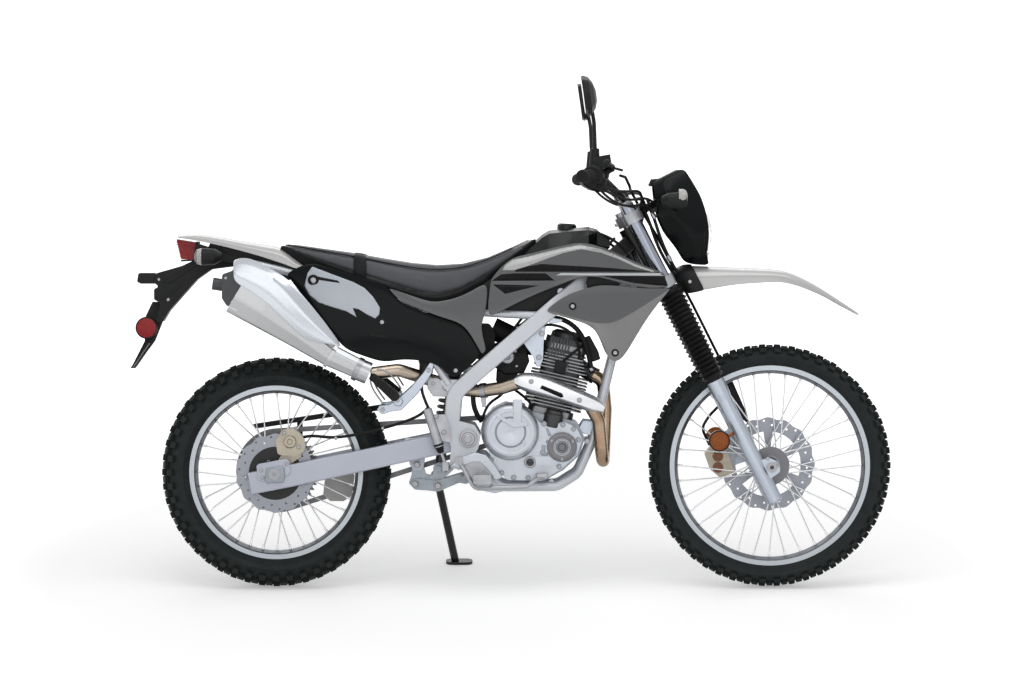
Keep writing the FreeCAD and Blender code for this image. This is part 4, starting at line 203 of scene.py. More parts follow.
def rubber(name, color, rough, shade, grain=900.0, depth=0.05):
    """Matt rubber or cloth with a fine grain."""
    finish = Finish(name, color, rough, Specular_IOR_Level=0.13)
    finish.mottle(shade, 30.0, 0.6).uneven(45.0, 0.1)
    return finish.bump(finish.noise(grain, 4.0), depth).material


def turned(name, color, rough, centre, pitch):
    """Ground metal with fine rings about a wheel's axle."""
    finish = Finish(name, color, rough, 1.0)
    inputs = {"W": finish.maths("MULTIPLY", finish.reach(centre, LEFT), 1 / pitch), "Scale": 1.0,
              "Detail": 3.0}
    rings = finish.node("ShaderNodeTexNoise", inputs, noise_dimensions="1D").outputs["Fac"]
    finish.feed(finish.ramp(rings, 0.25, 0.75, rough - 0.08, rough + 0.1), "Roughness")
    return finish.bump(rings, 0.02).material


def lens(name, color, rough=0.08):
    """A moulded reflector or lamp lens: clear skin over a field of small prisms."""
    prisms = 1 / (3.0 * MM)
    finish = Finish(name, color, rough, Specular_IOR_Level=0.2, Coat_Weight=0.12, Coat_Roughness=0.04)
    finish.tint([0.35 * c for c in color], finish.ramp(finish.cells(prisms), 0.2, 0.6, 0.0, 0.6))
    return finish.bump(finish.cells(prisms), 0.3).material


def clear(name, color, rough=0.03):
    """Clear or smoked plastic."""
    finish = Finish(name, color, rough, Transmission_Weight=1.0, IOR=1.45)
    return finish.bump(finish.noise(60.0, 1.0), 0.02).material


GREY = moulded("panel_grey", (0.105, 0.107, 0.11), 0.38,
    (0.088, 0.09, 0.093), Metallic=0.2, Coat_Weight=0.15, Coat_Roughness=0.16, Specular_IOR_Level=0.35)
SILVER = moulded("fender_silver", (0.52, 0.52, 0.515), 0.34,
    (0.44, 0.44, 0.435), Metallic=0.2, Coat_Weight=0.5, Coat_Roughness=0.14)
GLOSS_BLACK = moulded("panel_black", (0.004, 0.0055, 0.006), 0.16, (0.007, 0.008, 0.009),
    depth=0.006, Specular_IOR_Level=0.1)
TANK_BLACK = moulded("tank_black", (0.006, 0.007, 0.008), 0.26, (0.01, 0.011, 0.012),
    depth=0.01, Specular_IOR_Level=0.26)
TRIM = moulded("trim_black", (0.009, 0.0095, 0.01), 0.5, (0.015, 0.0155, 0.016),
    depth=0.05, Specular_IOR_Level=0.2)
WHITE_GUIDE = moulded("guide_nylon", (0.62, 0.62, 0.6), 0.42, (0.5, 0.5, 0.48))
FRAME_PAINT = painted("frame_paint", (0.6, 0.62, 0.66), 0.32, (0.45, 0.47, 0.52))
ARM_PAINT = painted("arm_paint", (0.43, 0.45, 0.52), 0.36, (0.36, 0.38, 0.44), metal=0.45)
BLACK_PAINT = painted("black_paint", (0.008, 0.008, 0.009), 0.34, (0.014, 0.014, 0.014),
    metal=0.0, Specular_IOR_Level=0.35)
DARK_PAINT = painted("dark_paint", (0.05, 0.05, 0.053), 0.36, (0.04, 0.04, 0.04), metal=0.3)
CASE = cast("engine_case", (0.28, 0.31, 0.34), 0.42, (0.19, 0.21, 0.23))
COVER = cast("engine_cover", (0.5, 0.53, 0.58), 0.34, (0.42, 0.44, 0.48), depth=0.06, metal=0.7)
FIN_EDGES = cast("fin_edges", (0.3, 0.31, 0.32), 0.4, (0.2, 0.2, 0.21), metal=0.7)
FINS = cast("engine_fins", (0.075, 0.077, 0.08), 0.45, (0.03, 0.031, 0.033), metal=0.6)
CALIPER = cast("caliper_metal", (0.42, 0.38, 0.31), 0.4, (0.3, 0.27, 0.22), metal=0.7)
PISTON = cast("piston_seal", (0.22, 0.09, 0.045), 0.4, (0.15, 0.06, 0.03), metal=0.3)
CLAMP = cast("clamp_alloy", (0.4, 0.41, 0.43), 0.38, (0.2, 0.2, 0.22), metal=0.8)
HUB = cast("hub_alloy", (0.24, 0.25, 0.27), 0.36, (0.16, 0.17, 0.18), depth=0.05)
RIM = brushed("rim_alloy", (0.4, 0.43, 0.46), 0.34, (0.33, 0.35, 0.38), stretch=(30.0, 30.0, 30.0))
RIM_WELL = brushed("rim_well", (0.2, 0.21, 0.23), 0.36, (0.15, 0.16, 0.18), stretch=(30.0, 30.0, 30.0))
SPOKE = brushed("spoke_steel", (0.6, 0.61, 0.63), 0.2, (0.5, 0.5, 0.52), stretch=(40.0, 40.0, 40.0))
SLIDER = brushed("slider_alloy", (0.42, 0.46, 0.52), 0.34, (0.35, 0.38, 0.44), stretch=(60, 60, 4))
STEEL = brushed("fastener_steel", (0.32, 0.32, 0.34), 0.3, (0.24, 0.24, 0.26), stretch=(90.0, 8.0, 90.0))
DARK_STEEL = brushed("dark_steel", (0.16, 0.16, 0.17), 0.36, (0.08, 0.08, 0.085))
CHROME = brushed("bright_chrome", (0.7, 0.7, 0.72), 0.1, (0.6, 0.6, 0.62))
FORK_TUBE = brushed("fork_tube", (0.27, 0.29, 0.34), 0.24, (0.22, 0.24, 0.28), stretch=(60, 60, 4))
MUFFLER = brushed("muffler_steel", (0.42, 0.43, 0.44), 0.3, (0.4, 0.4, 0.39))
END_CAP = painted("end_cap_paint", (0.05, 0.052, 0.055), 0.4, (0.035, 0.036, 0.038), metal=0.3)
PALE_STEEL = brushed("pale_steel", (0.64, 0.65, 0.67), 0.3, (0.57, 0.58, 0.6))
SHIELD = brushed("shield_steel", (0.5, 0.52, 0.56), 0.24, (0.44, 0.46, 0.5))
RUBBER = rubber("soft_rubber", (0.012, 0.012, 0.0125), 0.55, (0.022, 0.022, 0.022))
BOOT = rubber("boot_rubber", (0.009, 0.009, 0.0095), 0.42, (0.02, 0.02, 0.021))
AMBER = lens("amber_lens", (0.62, 0.15, 0.012))
RED = lens("red_lens", (0.46, 0.002, 0.006))
CLEAR = clear("clear_lens", (0.92, 0.94, 0.95))
MIRROR = brushed("mirror_glass", (0.42, 0.44, 0.47), 0.04, (0.38, 0.4, 0.43))
FRONT_DISC = turned("front_disc_steel", (0.25, 0.26, 0.29), 0.3, FRONT_AXLE, 0.0009)
REAR_DISC = turned("rear_disc_steel", (0.25, 0.26, 0.29), 0.3, REAR_AXLE, 0.0009)
DECAL_BLACK = moulded("film_black", (0.006, 0.006, 0.007), 0.28, (0.01, 0.01, 0.011),
    depth=0.004, Specular_IOR_Level=0.1)
DECAL_WHITE = moulded("film_white", (0.66, 0.68, 0.7), 0.32, (0.6, 0.62, 0.64), depth=0.004)
# A lighter copy of the panel grey: painted light on a facet that faces up
PAINTED_LIGHT_FACET = moulded("panel_facet_painted_light", (0.2, 0.2, 0.2), 0.32, (0.17, 0.17, 0.17), Metallic=0.3)
# A light grey film: painted highlight on the upward chamfer along the shroud's top
PAINTED_HIGHLIGHT_BAND = moulded("painted_highlight_film", (0.42, 0.425, 0.42), 0.3, (0.36, 0.365, 0.36), depth=0.004, Metallic=0.3)
SILVER_TRIM = moulded("trim_silver", (0.52, 0.56, 0.62), 0.34, (0.36, 0.4, 0.46),
    depth=0.01, Coat_Weight=0.4, Coat_Roughness=0.15)
WEBBING = rubber("strap_webbing", (0.012, 0.013, 0.014), 0.6, (0.02, 0.021, 0.022), grain=1800.0, depth=0.15)
WELT = rubber("seat_welt", (0.01, 0.01, 0.011), 0.5, (0.016, 0.016, 0.017))
SIGNAL_LENS = lens("signal_lens", (0.72, 0.7, 0.68), 0.06)
SMOKE = clear("smoked_screen", (0.03, 0.035, 0.04), 0.05)
REFLECTOR = brushed("lamp_reflector", (0.9, 0.9, 0.9), 0.06, (0.85, 0.85, 0.85))
SPROCKET = turned("sprocket_steel", (0.2, 0.2, 0.21), 0.34, REAR_AXLE, 0.0012)


def header_steel():
    """Stainless pipe that the heat has turned straw and bronze near the port."""
    finish = Finish("header_steel", (0.38, 0.32, 0.26), 0.24, 1.0)
    finish.uneven(30.0, 0.06)
    ahead = finish.vector("DOT_PRODUCT", finish.place, FORWARD / MM)
    heat = finish.ramp(ahead, bike(700, 0, 0).dot(FORWARD) / MM, bike(900, 0, 0).dot(FORWARD) / MM)
    streaks = finish.ramp(finish.noise(24.0, 4.0), 0.3, 0.7, 0.3, 0.9)
    finish.tint((0.3, 0.19, 0.11), finish.maths("MULTIPLY", heat, streaks))
    return finish.bump(finish.noise(300.0, 2.0), 0.01).material


HEADER = header_steel()


def seat_vinyl():
    """Grained charcoal vinyl with a soft sheen."""
    finish = Finish("seat_vinyl", (0.05, 0.052, 0.06), 0.5, Sheen_Weight=0.35, Sheen_Roughness=0.4)
    finish.mottle((0.068, 0.071, 0.08), 22.0, 0.5).uneven(120.0, 0.08)
    finish.bump(finish.cells(950.0, "DISTANCE_TO_EDGE"), 0.12)
    return finish.bump(finish.noise(2600.0, 2.0), 0.03).material


SEAT = seat_vinyl()


def dress(node, material, *rules, where=to_bike):
    """Gives a CAD node its material, and other materials to the faces that a rule picks."""
    mesh = frame["nodes"][node].data
    mesh.materials.clear()
    for one in (material, *(other for other, _ in rules)):
        mesh.materials.append(one)
    for polygon in mesh.polygons:
        polygon.material_index = 0
        place = where(polygon.center)
        for number, (_, picks) in enumerate(rules, 1):
            if picks(place):
                polygon.material_index = number


def between(centre, low, high=1e6):
    """Picks the faces between two radii of a wheel."""
    middle = to_bike(centre)
    return lambda p: low < math.hypot(p.x - middle.x, p.z - middle.z) < high


for node, material in {
        "swingarm": ARM_PAINT, "chassis_axles": STEEL, "crankcase": CASE, "clutch_cover": COVER,
        "intake": RUBBER, "exhaust_header": HEADER, "heat_shields": SHIELD, "fuel_tank": TANK_BLACK,
        "undertail": TRIM, "chain": DARK_STEEL, "foot_controls": CLAMP, "fork_clamps": CLAMP,
        "fork_tubes": FORK_TUBE, "fork_boots": BOOT, "fork_sliders": SLIDER, "front_axle": STEEL,
        "instrument": TRIM, "handlebar": BLACK_PAINT, "grips": RUBBER, "bar_controls": TRIM,
        "front_caliper": CALIPER, "brake_hose": RUBBER, "front_disc": FRONT_DISC,
        "rear_sprocket": SPROCKET, "side_stand": BLACK_PAINT}.items():
    dress(node, material)
dress("frame", FRAME_PAINT, (BLACK_PAINT, lambda p: p.x > 900 and p.z > 905))
dress("rear_suspension", DARK_PAINT, (CASE, lambda p: p.z < 364))
dress("cylinder", FINS, (FIN_EDGES, lambda p: abs(p.y) > 58 and p.z < 680))
dress("muffler", MUFFLER, (END_CAP, lambda p: (p.z - 838) * 0.5225 - (p.x + 92) * 0.8526 > 1.5))
dress("rear_lights", TRIM, (RED, lambda p: p.z > 912 and p.x < -225 and abs(p.y) < 60),
      (RED, lambda p: math.hypot(p.x + 364, p.z - 728) < 30))
dress("chain_guides", TRIM, (WHITE_GUIDE, lambda p: p.z < 420))
dress("rear_brake", CALIPER, (CLAMP, lambda p: p.x > 300))
dress("front_lights", TRIM, (AMBER, lambda p: p.z < -400), where=to_steer)
dress("front_rim", RIM, (RIM_WELL, between(FRONT_AXLE, 0, 266)))
dress("rear_rim", RIM, (RIM_WELL, between(REAR_AXLE, 0, 229)))
dress("front_hub", HUB, (SPOKE, between(FRONT_AXLE, 48)))
dress("rear_hub", HUB, (SPOKE, between(REAR_AXLE, 62)))
dress("rear_disc", REAR_DISC, (BLACK_PAINT, between(REAR_AXLE, 0, 72)))

# Building pieces

ON_FORK = {"body": "steering", "place": steer}
OUTSIDE = 400.0
PANELS_AT = 130.0
FILM_FROM = 300.0
FILM_GAP = 0.06


def circle(steps, phase=0.0):
    """Angles round a full turn."""
    return [2 * math.pi * (k + phase) / steps for k in range(steps)]


def mirrored(guide):
    """A guide from the left side to the middle, carried on to the right side."""
    return guide + [(-y, *rest) for y, *rest in reversed(guide[:-1])]


def face_towards(bm, faces, towards):
    """Makes the faces agree, and turns them all if most of them look away from a direction."""
    bmesh.ops.recalc_face_normals(bm, faces=faces)
    if towards and sum(face.normal.dot(towards) * face.calc_area() for face in faces) < 0:
        bmesh.ops.reverse_faces(bm, faces=faces)


def piece(name, bm, material, body="chassis", smooth=40.0, replaces=()):
    """Makes an object of a bmesh, shades it, and hands it to a body."""
    mesh = bpy.data.meshes.new(name)
    bm.to_mesh(mesh)
    bm.free()
    mesh.polygons.foreach_set("use_smooth", [True] * len(mesh.polygons))
    mesh.set_sharp_from_angle(angle=math.radians(smooth))
    made = bpy.data.objects.new(name, mesh)
    bpy.context.collection.objects.link(made)
    mesh.materials.append(material)
    if replaces:
        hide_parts(*replaces)
    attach(made, body)
    return made


def modifier(made, kind, **settings):
    added = made.modifiers.new(kind.lower(), kind)
    for key, value in settings.items():
        setattr(added, key, value)
    return added


def smoother(made, levels):
    modifier(made, "SUBSURF", levels=levels, render_levels=levels)


def rounded(made, width, angle):
    return modifier(made, "BEVEL", width=width * MM, segments=2, limit_method="ANGLE",
                    angle_limit=math.radians(angle), harden_normals=False)


def weave(bm, rows, place, towards=None, creases=()):
    """A grid of quads through rows of points, with sharp lines along the rows named in creases."""
    layer = bm.edges.layers.float.get("crease_edge") or bm.edges.layers.float.new("crease_edge")
    grid = [[bm.verts.new(place(*point)) for point in row] for row in rows]
    faces = [bm.faces.new((upper[j], lower[j], lower[j + 1], upper[j + 1]))
             for upper, lower in zip(grid[:-1], grid[1:]) for j in range(len(upper) - 1)]
    face_towards(bm, faces, towards)
    for number, sharp in dict(creases).items():
        for a, b in zip(grid[number][:-1], grid[number][1:]):
            bm.edges.get((a, b))[layer] = sharp
    return grid


def sheet(name, grids, material, thickness, levels=2, bevel=0.7, offset=-1.0, place=bike, creases=(),
          smooth=40.0, body="chassis", replaces=()):
    """A smoothed sheet with a thickness and rounded edges: grids of (facing or None, rows of points)."""
    bm = bmesh.new()
    for towards, rows in grids:
        weave(bm, rows, place, towards, creases)
    made = piece(name, bm, material, body, smooth, replaces)
    smoother(made, levels)
    modifier(made, "SOLIDIFY", thickness=thickness * MM, offset=offset, use_even_offset=True)
    if bevel:
        rounded(made, bevel, 50.0)
    return made


def side_view(x, z, y):
    return bike(x, y, z)


def twin_sheet(name, rows, material, replaces=(), creases=(), thickness=3.2, levels=2):
    """A creased panel on the left and its mirror image on the right, from rows of (x, z, y)."""
    grids = [(LEFT * side, [[(x, z, y * side) for x, z, y in row] for row in rows]) for side in (1, -1)]
    return sheet(name, grids, material, thickness, levels, place=side_view, creases=creases, smooth=42.0,
                 replaces=replaces)


def surface(*pieces):
    """A function that drops a side-view point onto the outer side of pieces as they are drawn."""
    graph = bpy.context.evaluated_depsgraph_get()
    trees = [BVHTree.FromObject(one, graph) for one in pieces]

    def drop(x, z, side):
        hits = [tree.ray_cast(bike(x, side * OUTSIDE, z), -LEFT * side, 0.5) for tree in trees]
        hits = [hit for hit in hits if hit[0] is not None]
        hits = hits or [tree.find_nearest(bike(x, side * PANELS_AT, z)) for tree in trees]
        return min(hits, key=lambda hit: hit[3])[0]
    return drop


def slices(bm, direction, low, high, step):
    """Cuts flat faces across, so that they can bend over a curved panel."""
    at = low + step
    while at < high:
        bmesh.ops.bisect_plane(bm, geom=bm.verts[:] + bm.edges[:] + bm.faces[:], dist=1e-6,
                               plane_co=ORIGIN + direction * at * MM, plane_no=direction)
        at += step


def applique(name, outlines, drop, material, lift=0.35, sides=(1, -1), step=9.0):
    """Thin film or trim laid on a panel, from side-view outlines."""
    bm = bmesh.new()
    for side in sides:
        for outline in outlines:
            bm.faces.new([bm.verts.new(bike(x, side * FILM_FROM, z)) for x, z in outline])
    xs, zs = zip(*(point for outline in outlines for point in outline))
    slices(bm, FORWARD, min(xs), max(xs), step)
    slices(bm, UP, min(zs), max(zs), step)
    bmesh.ops.triangulate(bm, faces=[face for face in bm.faces if len(face.verts) > 4])
    for vert in bm.verts:
        point = to_bike(vert.co)
        side = 1 if point.y > 0 else -1
        vert.co = drop(point.x, point.z, side) + LEFT * (side * FILM_GAP * MM)
    for face in bm.faces:
        face.normal_update()
        side = 1 if to_bike(face.calc_center_median()).y > 0 else -1
        if face.normal.dot(LEFT) * side < 0:
            face.normal_flip()
    made = piece(name, bm, material, smooth=60.0)
    modifier(made, "SOLIDIFY", thickness=lift * MM, offset=1.0)
    return made


def prism(bm, outline, low, high, place):
    """Extrudes a side-view outline across the machine, from y low to y high."""
    near, far = [[bm.verts.new(place(a, y, b)) for a, b in outline] for y in (low, high)]
    faces = [bm.faces.new(near), bm.faces.new(far[::-1])]
    for j in range(len(outline)):
        k = (j + 1) % len(outline)
        faces.append(bm.faces.new((near[j], far[j], far[k], near[k])))
    bmesh.ops.recalc_face_normals(bm, faces=faces)


def spin(bm, profile, centre, axis, steps):
    """A turned shape: (reach along the axis, radius) pairs about a line, closed where the radius is 0."""
    axis = axis.normalized()
    side = (UP if abs(axis.dot(UP)) < 0.9 else FORWARD).cross(axis).normalized()
    up = axis.cross(side)
    rings = []
    for reach, radius in profile:
        middle = centre + axis * reach * MM
        if radius < 0.01:
            rings.append([bm.verts.new(middle)])
        else:
            rings.append([bm.verts.new(middle + (side * math.cos(t) + up * math.sin(t)) * radius * MM)
                          for t in circle(steps)])
    faces = []
    for one, two in zip(rings[:-1], rings[1:]):
        if len(one) == len(two) == 1:
            continue
        for k in range(steps):
            n = (k + 1) % steps
            if len(one) == 1:
                faces.append(bm.faces.new((one[0], two[k], two[n])))
            elif len(two) == 1:
                faces.append(bm.faces.new((one[k], two[0], one[n])))
            else:
                faces.append(bm.faces.new((one[k], two[k], two[n], one[n])))
    bmesh.ops.recalc_face_normals(bm, faces=faces)


def bolt(bm, centre, axis, radius, kind):
    """A bolt head with its washer face: hexagon or recessed socket."""
    height = radius * 0.7
    if kind == "hex":
        washer = [(-0.5, radius * 1.25), (0.9, radius * 1.25), (1.1, radius * 1.15)]
        head = [(0.5, radius), (height * 0.85, radius), (height, radius * 0.86), (height, 0)]
        spin(bm, washer, centre, axis, 24)
        spin(bm, head, centre, axis, 6)
    else:
        head = [(-0.5, radius), (height * 0.5, radius), (height * 0.85, radius * 0.86)]
        recess = [(height, radius * 0.62), (height, radius * 0.45), (height * 0.35, radius * 0.42),
                  (height * 0.35, 0)]
        spin(bm, head + recess, centre, axis, 24)


def tube(name, points, radius, material, body="chassis", resolution=6):
    """A smooth pipe through a few guide points."""
    curve = bpy.data.curves.new(name, "CURVE")
    curve.dimensions = "3D"
    curve.bevel_depth = radius * MM
    curve.bevel_resolution = 4
    curve.resolution_u = resolution
    curve.use_fill_caps = True
    spline = curve.splines.new("NURBS")
    spline.points.add(len(points) - 1)
    for spot, point in zip(spline.points, points):
        spot.co = (*point, 1.0)
    spline.order_u = min(4, len(points))
    spline.use_endpoint_u = True
    curve.materials.append(material)
    made = bpy.data.objects.new(name, curve)
    bpy.context.collection.objects.link(made)
    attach(made, body)


# Body panels: rows of (x, z, y) from the top edge down

SHROUD_ROWS = [
    [(604, 868, 88), (625, 895, 86), (660, 925, 84), (700, 932, 88), (750, 945, 96), (800, 958, 104),
     (850, 968, 112), (905, 955, 120), (950, 938, 128), (1000, 912, 138), (1050, 893, 148), (1076, 884, 153)],
    [(602, 863, 91), (640, 891, 93), (672, 899, 97), (705, 906, 104), (750, 925, 111), (800, 942, 119),
     (850, 951, 126), (905, 940, 134), (950, 926, 141), (1000, 905, 148), (1050, 887, 155), (1080, 878, 158)],
    [(600, 856, 92), (640, 857, 91), (672, 857, 93), (705, 857, 97), (755, 857, 104), (803, 866, 112),
     (850, 882, 120), (903, 880, 128), (950, 866, 136), (1000, 850, 145), (1050, 846, 153), (1089, 849, 158)],
    [(586, 754, 118), (620, 771, 114), (660, 792, 110), (705, 814, 108), (757, 836, 112), (806, 855, 119),
     (850, 873, 125), (902, 872, 133), (950, 857, 140), (1000, 844, 148), (1050, 841, 154), (1092, 842, 158)]]
LOWER_SHROUD_ROWS = [
    [(757, 781, 120), (785, 803, 121), (815, 822, 123), (850, 834, 126), (875, 841, 128), (900, 847, 131),
     (925, 847, 134), (950, 846, 137), (985, 842, 142), (1020, 839, 146), (1060, 838, 152), (1092, 839, 158)],
    [(758, 776, 119), (785, 769, 118), (815, 761, 117), (850, 751, 117), (870, 745, 118), (890, 740, 119),
     (912, 740, 121), (935, 742, 124), (960, 753, 129), (1000, 777, 136), (1050, 808, 147), (1094, 836, 158)],
    [(759, 774, 120), (785, 766, 120), (815, 758, 120), (850, 747, 121), (872, 738, 122), (895, 718, 124),
     (912, 684, 125), (925, 642, 123), (950, 632, 125), (975, 655, 129), (1030, 758, 144), (1093, 834, 158)]]
SIDE_COVER_ROWS = [
    [(320, 838, 123), (350, 829, 122.5), (400, 811, 120), (440, 799, 118), (480, 805, 114), (520, 817, 108),
     (560, 838, 100), (598, 862, 94), (582, 753, 119), (573, 740, 122), (577, 705, 128), (588, 668, 130)],
    [(320, 836, 124), (350, 815, 127), (400, 798, 127.5), (445, 782, 126), (489, 778, 124), (522, 777, 120),
     (551, 778, 118), (573, 783, 116), (569, 722, 127), (567, 712, 128), (573, 686, 130), (582, 662, 130.5)],
    [(321, 834, 124), (350, 801, 127.5), (400, 784, 128.5), (450, 763, 128), (499, 749, 127), (524, 737, 128),
     (541, 716, 129), (549, 703, 130), (556, 691, 130), (561, 683, 130), (569, 668, 130.5),
     (576, 656, 130.5)]]
REAR_COVER_ROWS = [
    [(38, 882, 100), (70, 900, 99), (105, 911, 98), (150, 897, 104), (200, 882, 107), (250, 866, 110),
     (300, 850, 114), (324, 829, 119), (352, 797, 123.5), (400, 780, 124), (450, 759, 124), (497, 745, 124),
     (521, 733, 124.5), (537, 713, 126), (553, 687, 127.5), (570, 658, 128.5)],
    [(38, 879, 101), (68, 880, 105), (100, 873, 109), (140, 850, 114), (193, 826, 119), (250, 800, 123),
     (300, 780, 126), (332, 762, 128), (360, 738, 130), (400, 722, 131), (450, 700, 131), (488, 692, 130),
     (508, 690, 129), (524, 685, 128.5), (545, 668, 128.5), (566, 650, 128.5)],
    [(37, 875, 101), (63, 860, 108), (94, 834, 116), (128, 800, 122), (164, 768, 127), (206, 735, 129),
     (262, 712, 130), (316, 696, 130), (350, 690, 130), (400, 676, 130), (452, 656, 130), (482, 640, 129.5),
     (502, 636, 129), (518, 640, 128.5), (536, 646, 128.5), (562, 644, 128.5)],
    [(36, 872, 101), (60, 842, 109), (90, 802, 118), (120, 762, 124.5), (150, 724, 128.5), (180, 690, 129),
     (200, 668, 128.5), (250, 650, 125), (305, 631, 122), (345, 642, 123), (400, 640, 125), (455, 628, 127),
     (480, 600, 127.5), (500, 588, 127.5), (530, 612, 128), (560, 640, 128.5)]]

shroud = twin_sheet("shroud_wings", SHROUD_ROWS, GREY, ("shrouds",), {0: 1.0, 1: 0.9, 2: 0.75, 3: 1.0})
scoop = twin_sheet("shroud_scoops", LOWER_SHROUD_ROWS, GREY, ("shrouds",), {0: 1.0, 1: 0.8, 2: 1.0})
twin_sheet("side_panels", SIDE_COVER_ROWS, GREY, ("side_covers",), {0: 1.0, 1: 0.2, 2: 1.0})
rear_cover = twin_sheet("rear_panels", REAR_COVER_ROWS, GLOSS_BLACK, ("rear_covers",),
    {0: 1.0, 1: 0.35, 2: 0.8, 3: 1.0})

# The lower band of each scoop, below its crease, takes the lighter grey: painted light where that facet faces
# up
scoop.data.materials.append(PAINTED_LIGHT_FACET)
for number, polygon in enumerate(scoop.data.polygons):
    polygon.material_index = number // (len(LOWER_SHROUD_ROWS[0]) - 1) % 2

on_shroud = surface(shroud)
on_scoop = surface(scoop)
on_rear = surface(rear_cover)

applique("shroud_stripe_upper", [[(668, 895), (700, 899), (740, 906), (900, 897), (1046, 886), (1078, 878),
    (1080, 884.5), (1072, 884.5), (668, 884.5)]], on_shroud, DECAL_BLACK)
applique("shroud_stripe_white", [[(780, 874), (1082, 874), (1079, 880.5),
    (795, 880.5)]], on_shroud, DECAL_WHITE)
applique("shroud_stripe_lower", [[(892, 876.5), (1000, 853), (1060, 847), (1088, 846), (1084, 873),
    (905, 873)]], on_shroud, DECAL_BLACK)
applique("shroud_blade", [[(603, 859), (778, 860), (752, 880), (668, 880),
    (628, 877)]], on_shroud, DECAL_BLACK)
# Painted highlight: a light grey film on the chamfer between the shroud's top edge and its ridge
applique("shroud_top_painted_highlight", [[(632, 888), (640, 902), (660, 917), (700, 925), (750, 938), (800, 950),
    (848, 959), (905, 947), (950, 930), (1000, 905), (1050, 887), (1050, 883), (1000, 898), (950, 921),
    (905, 937), (850, 947), (800, 936), (750, 918), (700, 899), (664, 888)]], on_shroud, PAINTED_HIGHLIGHT_BAND, lift=1.1,
    step=4.0)
applique("shroud_wedge", [[(606, 849), (733, 846), (640, 823)]], on_shroud, DECAL_BLACK)
rear_patch = applique("rear_patch", [[(105, 898), (150, 881), (220, 855), (250, 839), (274, 815), (293, 785),
    (291, 766), (280, 755), (258, 766), (235, 780), (218, 784), (228, 759), (200, 775), (150, 790),
    (122, 800), (98, 820), (84, 845), (92, 880)]], on_rear, SILVER_TRIM, lift=1.6, step=5.0)
applique("rear_wedge", [[(112, 873), (122, 862), (182, 853), (176, 860)]], surface(rear_patch), DECAL_BLACK,
    lift=0.3)

# Tyres


def tyre(name, node, body, centre, radius, width, crown, depth, rim, bead, pitches, rows, material):
    """A knobby tyre: a bulged carcass and rings of tapered blocks that follow the crown.

    A row of blocks is (start, end, shift, length, height): degrees from the middle of the crown, and
    shares of the pitch. A row that starts left of the middle crosses it, and the others are mirrored.
    """
    bm = bmesh.new()
    arc = radius - crown
    half = width / 2 - 0.4
    low = crown - depth
    profile = [(bead - 5, rim - 7), (bead + 1, rim - 1), (bead + 7, rim + 5), (half - 3, rim + 16),
               (half, rim + 28)]
    for t in (62, 50, 38, 24, 10):
        y = min((low + 1.5) * math.sin(math.radians(t)) * 1.04, half - 1)
        profile.append((y, arc + low * math.cos(math.radians(t))))
    profile += [(-y, r) for y, r in reversed(profile)]
    spin(bm, profile, centre, LEFT, 120)
    turn = 2 * math.pi / pitches
    taper = 0.09 * turn

    def on_crown(angle, tilt, height):
        tilt = math.radians(tilt)
        reach = arc + (low + height) * math.cos(tilt)
        out = FORWARD * math.cos(angle) + UP * math.sin(angle)
        return bm.verts.new(centre + (out * reach + LEFT * (low + height) * math.sin(tilt)) * MM)

    def block(side, middle, reach, start, end, height):
        rings = []
        for lift, shrink, slope in ((-2.5, 0.0, 0.0), (height, taper, (end - start) * 0.07)):
            back, front = middle - reach + shrink, middle + reach - shrink
            ring = [(back, start + slope), (front, start + slope), (front, end - slope), (back, end - slope)]
            rings.append([on_crown(a, t * side, lift) for a, t in ring])
        faces = [bm.faces.new(rings[1])]
        for k in range(4):
            n = (k + 1) % 4
            faces.append(bm.faces.new((rings[0][k], rings[0][n], rings[1][n], rings[1][k])))
        inside = sum((v.co for ring in rings for v in ring), Vector()) / 8
        for face in faces:
            face.normal_update()
            if face.normal.dot(face.calc_center_median() - inside) < 0:
                face.normal_flip()

    for number in range(pitches):
        for start, end, shift, length, height in rows:
            for side in (1, -1) if start >= 0 else (1,):
                block(side, (number + shift) * turn, length * turn / 2, start, end, height)
    rounded(piece(name, bm, material, body, 28.0, (node,)), 0.9, 35.0)


def tyre_rubber(name, axle, ribs):
    """Tyre compound with moulded rings on the sidewall."""
    finish = Finish(name, (0.014, 0.0175, 0.0175), 0.62, Specular_IOR_Level=0.2)
    finish.mottle((0.024, 0.028, 0.028), 30.0, 0.6).uneven(45.0, 0.1)
    reach = finish.reach(axle, LEFT)
    for radius, width, depth in ribs:
        away = finish.maths("ABSOLUTE", finish.maths("SUBTRACT", reach, radius * MM))
        finish.bump(finish.ramp(away, width * MM, (width - 0.8) * MM), depth)
    return finish.bump(finish.noise(700.0, 4.0), 0.12).material


FRONT_TYRE = tyre_rubber("front_tyre_rubber", FRONT_AXLE, ((289, 1.6, 0.8), (296, 1.2, 0.5), (304, 3.0, 0.4)))
REAR_TYRE = tyre_rubber("rear_tyre_rubber", REAR_AXLE, ((252, 1.6, 0.8), (259, 1.2, 0.5), (272, 4.5, 0.4)))
tyre("front_tyre_tread", "front_tyre", "front_wheel", FRONT_AXLE, 340.3, 74, 45, 10.5, 280, 22, 50,
    ((-15, 15, 0.0, 0.55, 10.5), (19, 36, 0.5, 0.55, 10.3), (40, 57, 0.0, 0.6, 9.6)), FRONT_TYRE)
tyre("rear_tyre_tread", "rear_tyre", "rear_wheel", REAR_AXLE, 321.8, 107, 60, 13.5, 243, 32, 48,
    ((-13, 13, 0.0, 0.58, 13.5), (17, 36, 0.5, 0.62, 13.3), (41, 61, 0.0, 0.6, 12.4)), REAR_TYRE)

# Seat

SEAT_STATIONS = [(14, 961, 955, 62), (60, 957, 938, 74), (130, 947, 909, 84), (210, 936, 878, 92),
    (300, 920, 848, 100), (380, 907, 822, 104), (450, 901, 805, 104), (520, 905, 827, 96),
    (590, 922, 873, 82), (660, 952, 923, 68), (726, 983, 976, 56)]


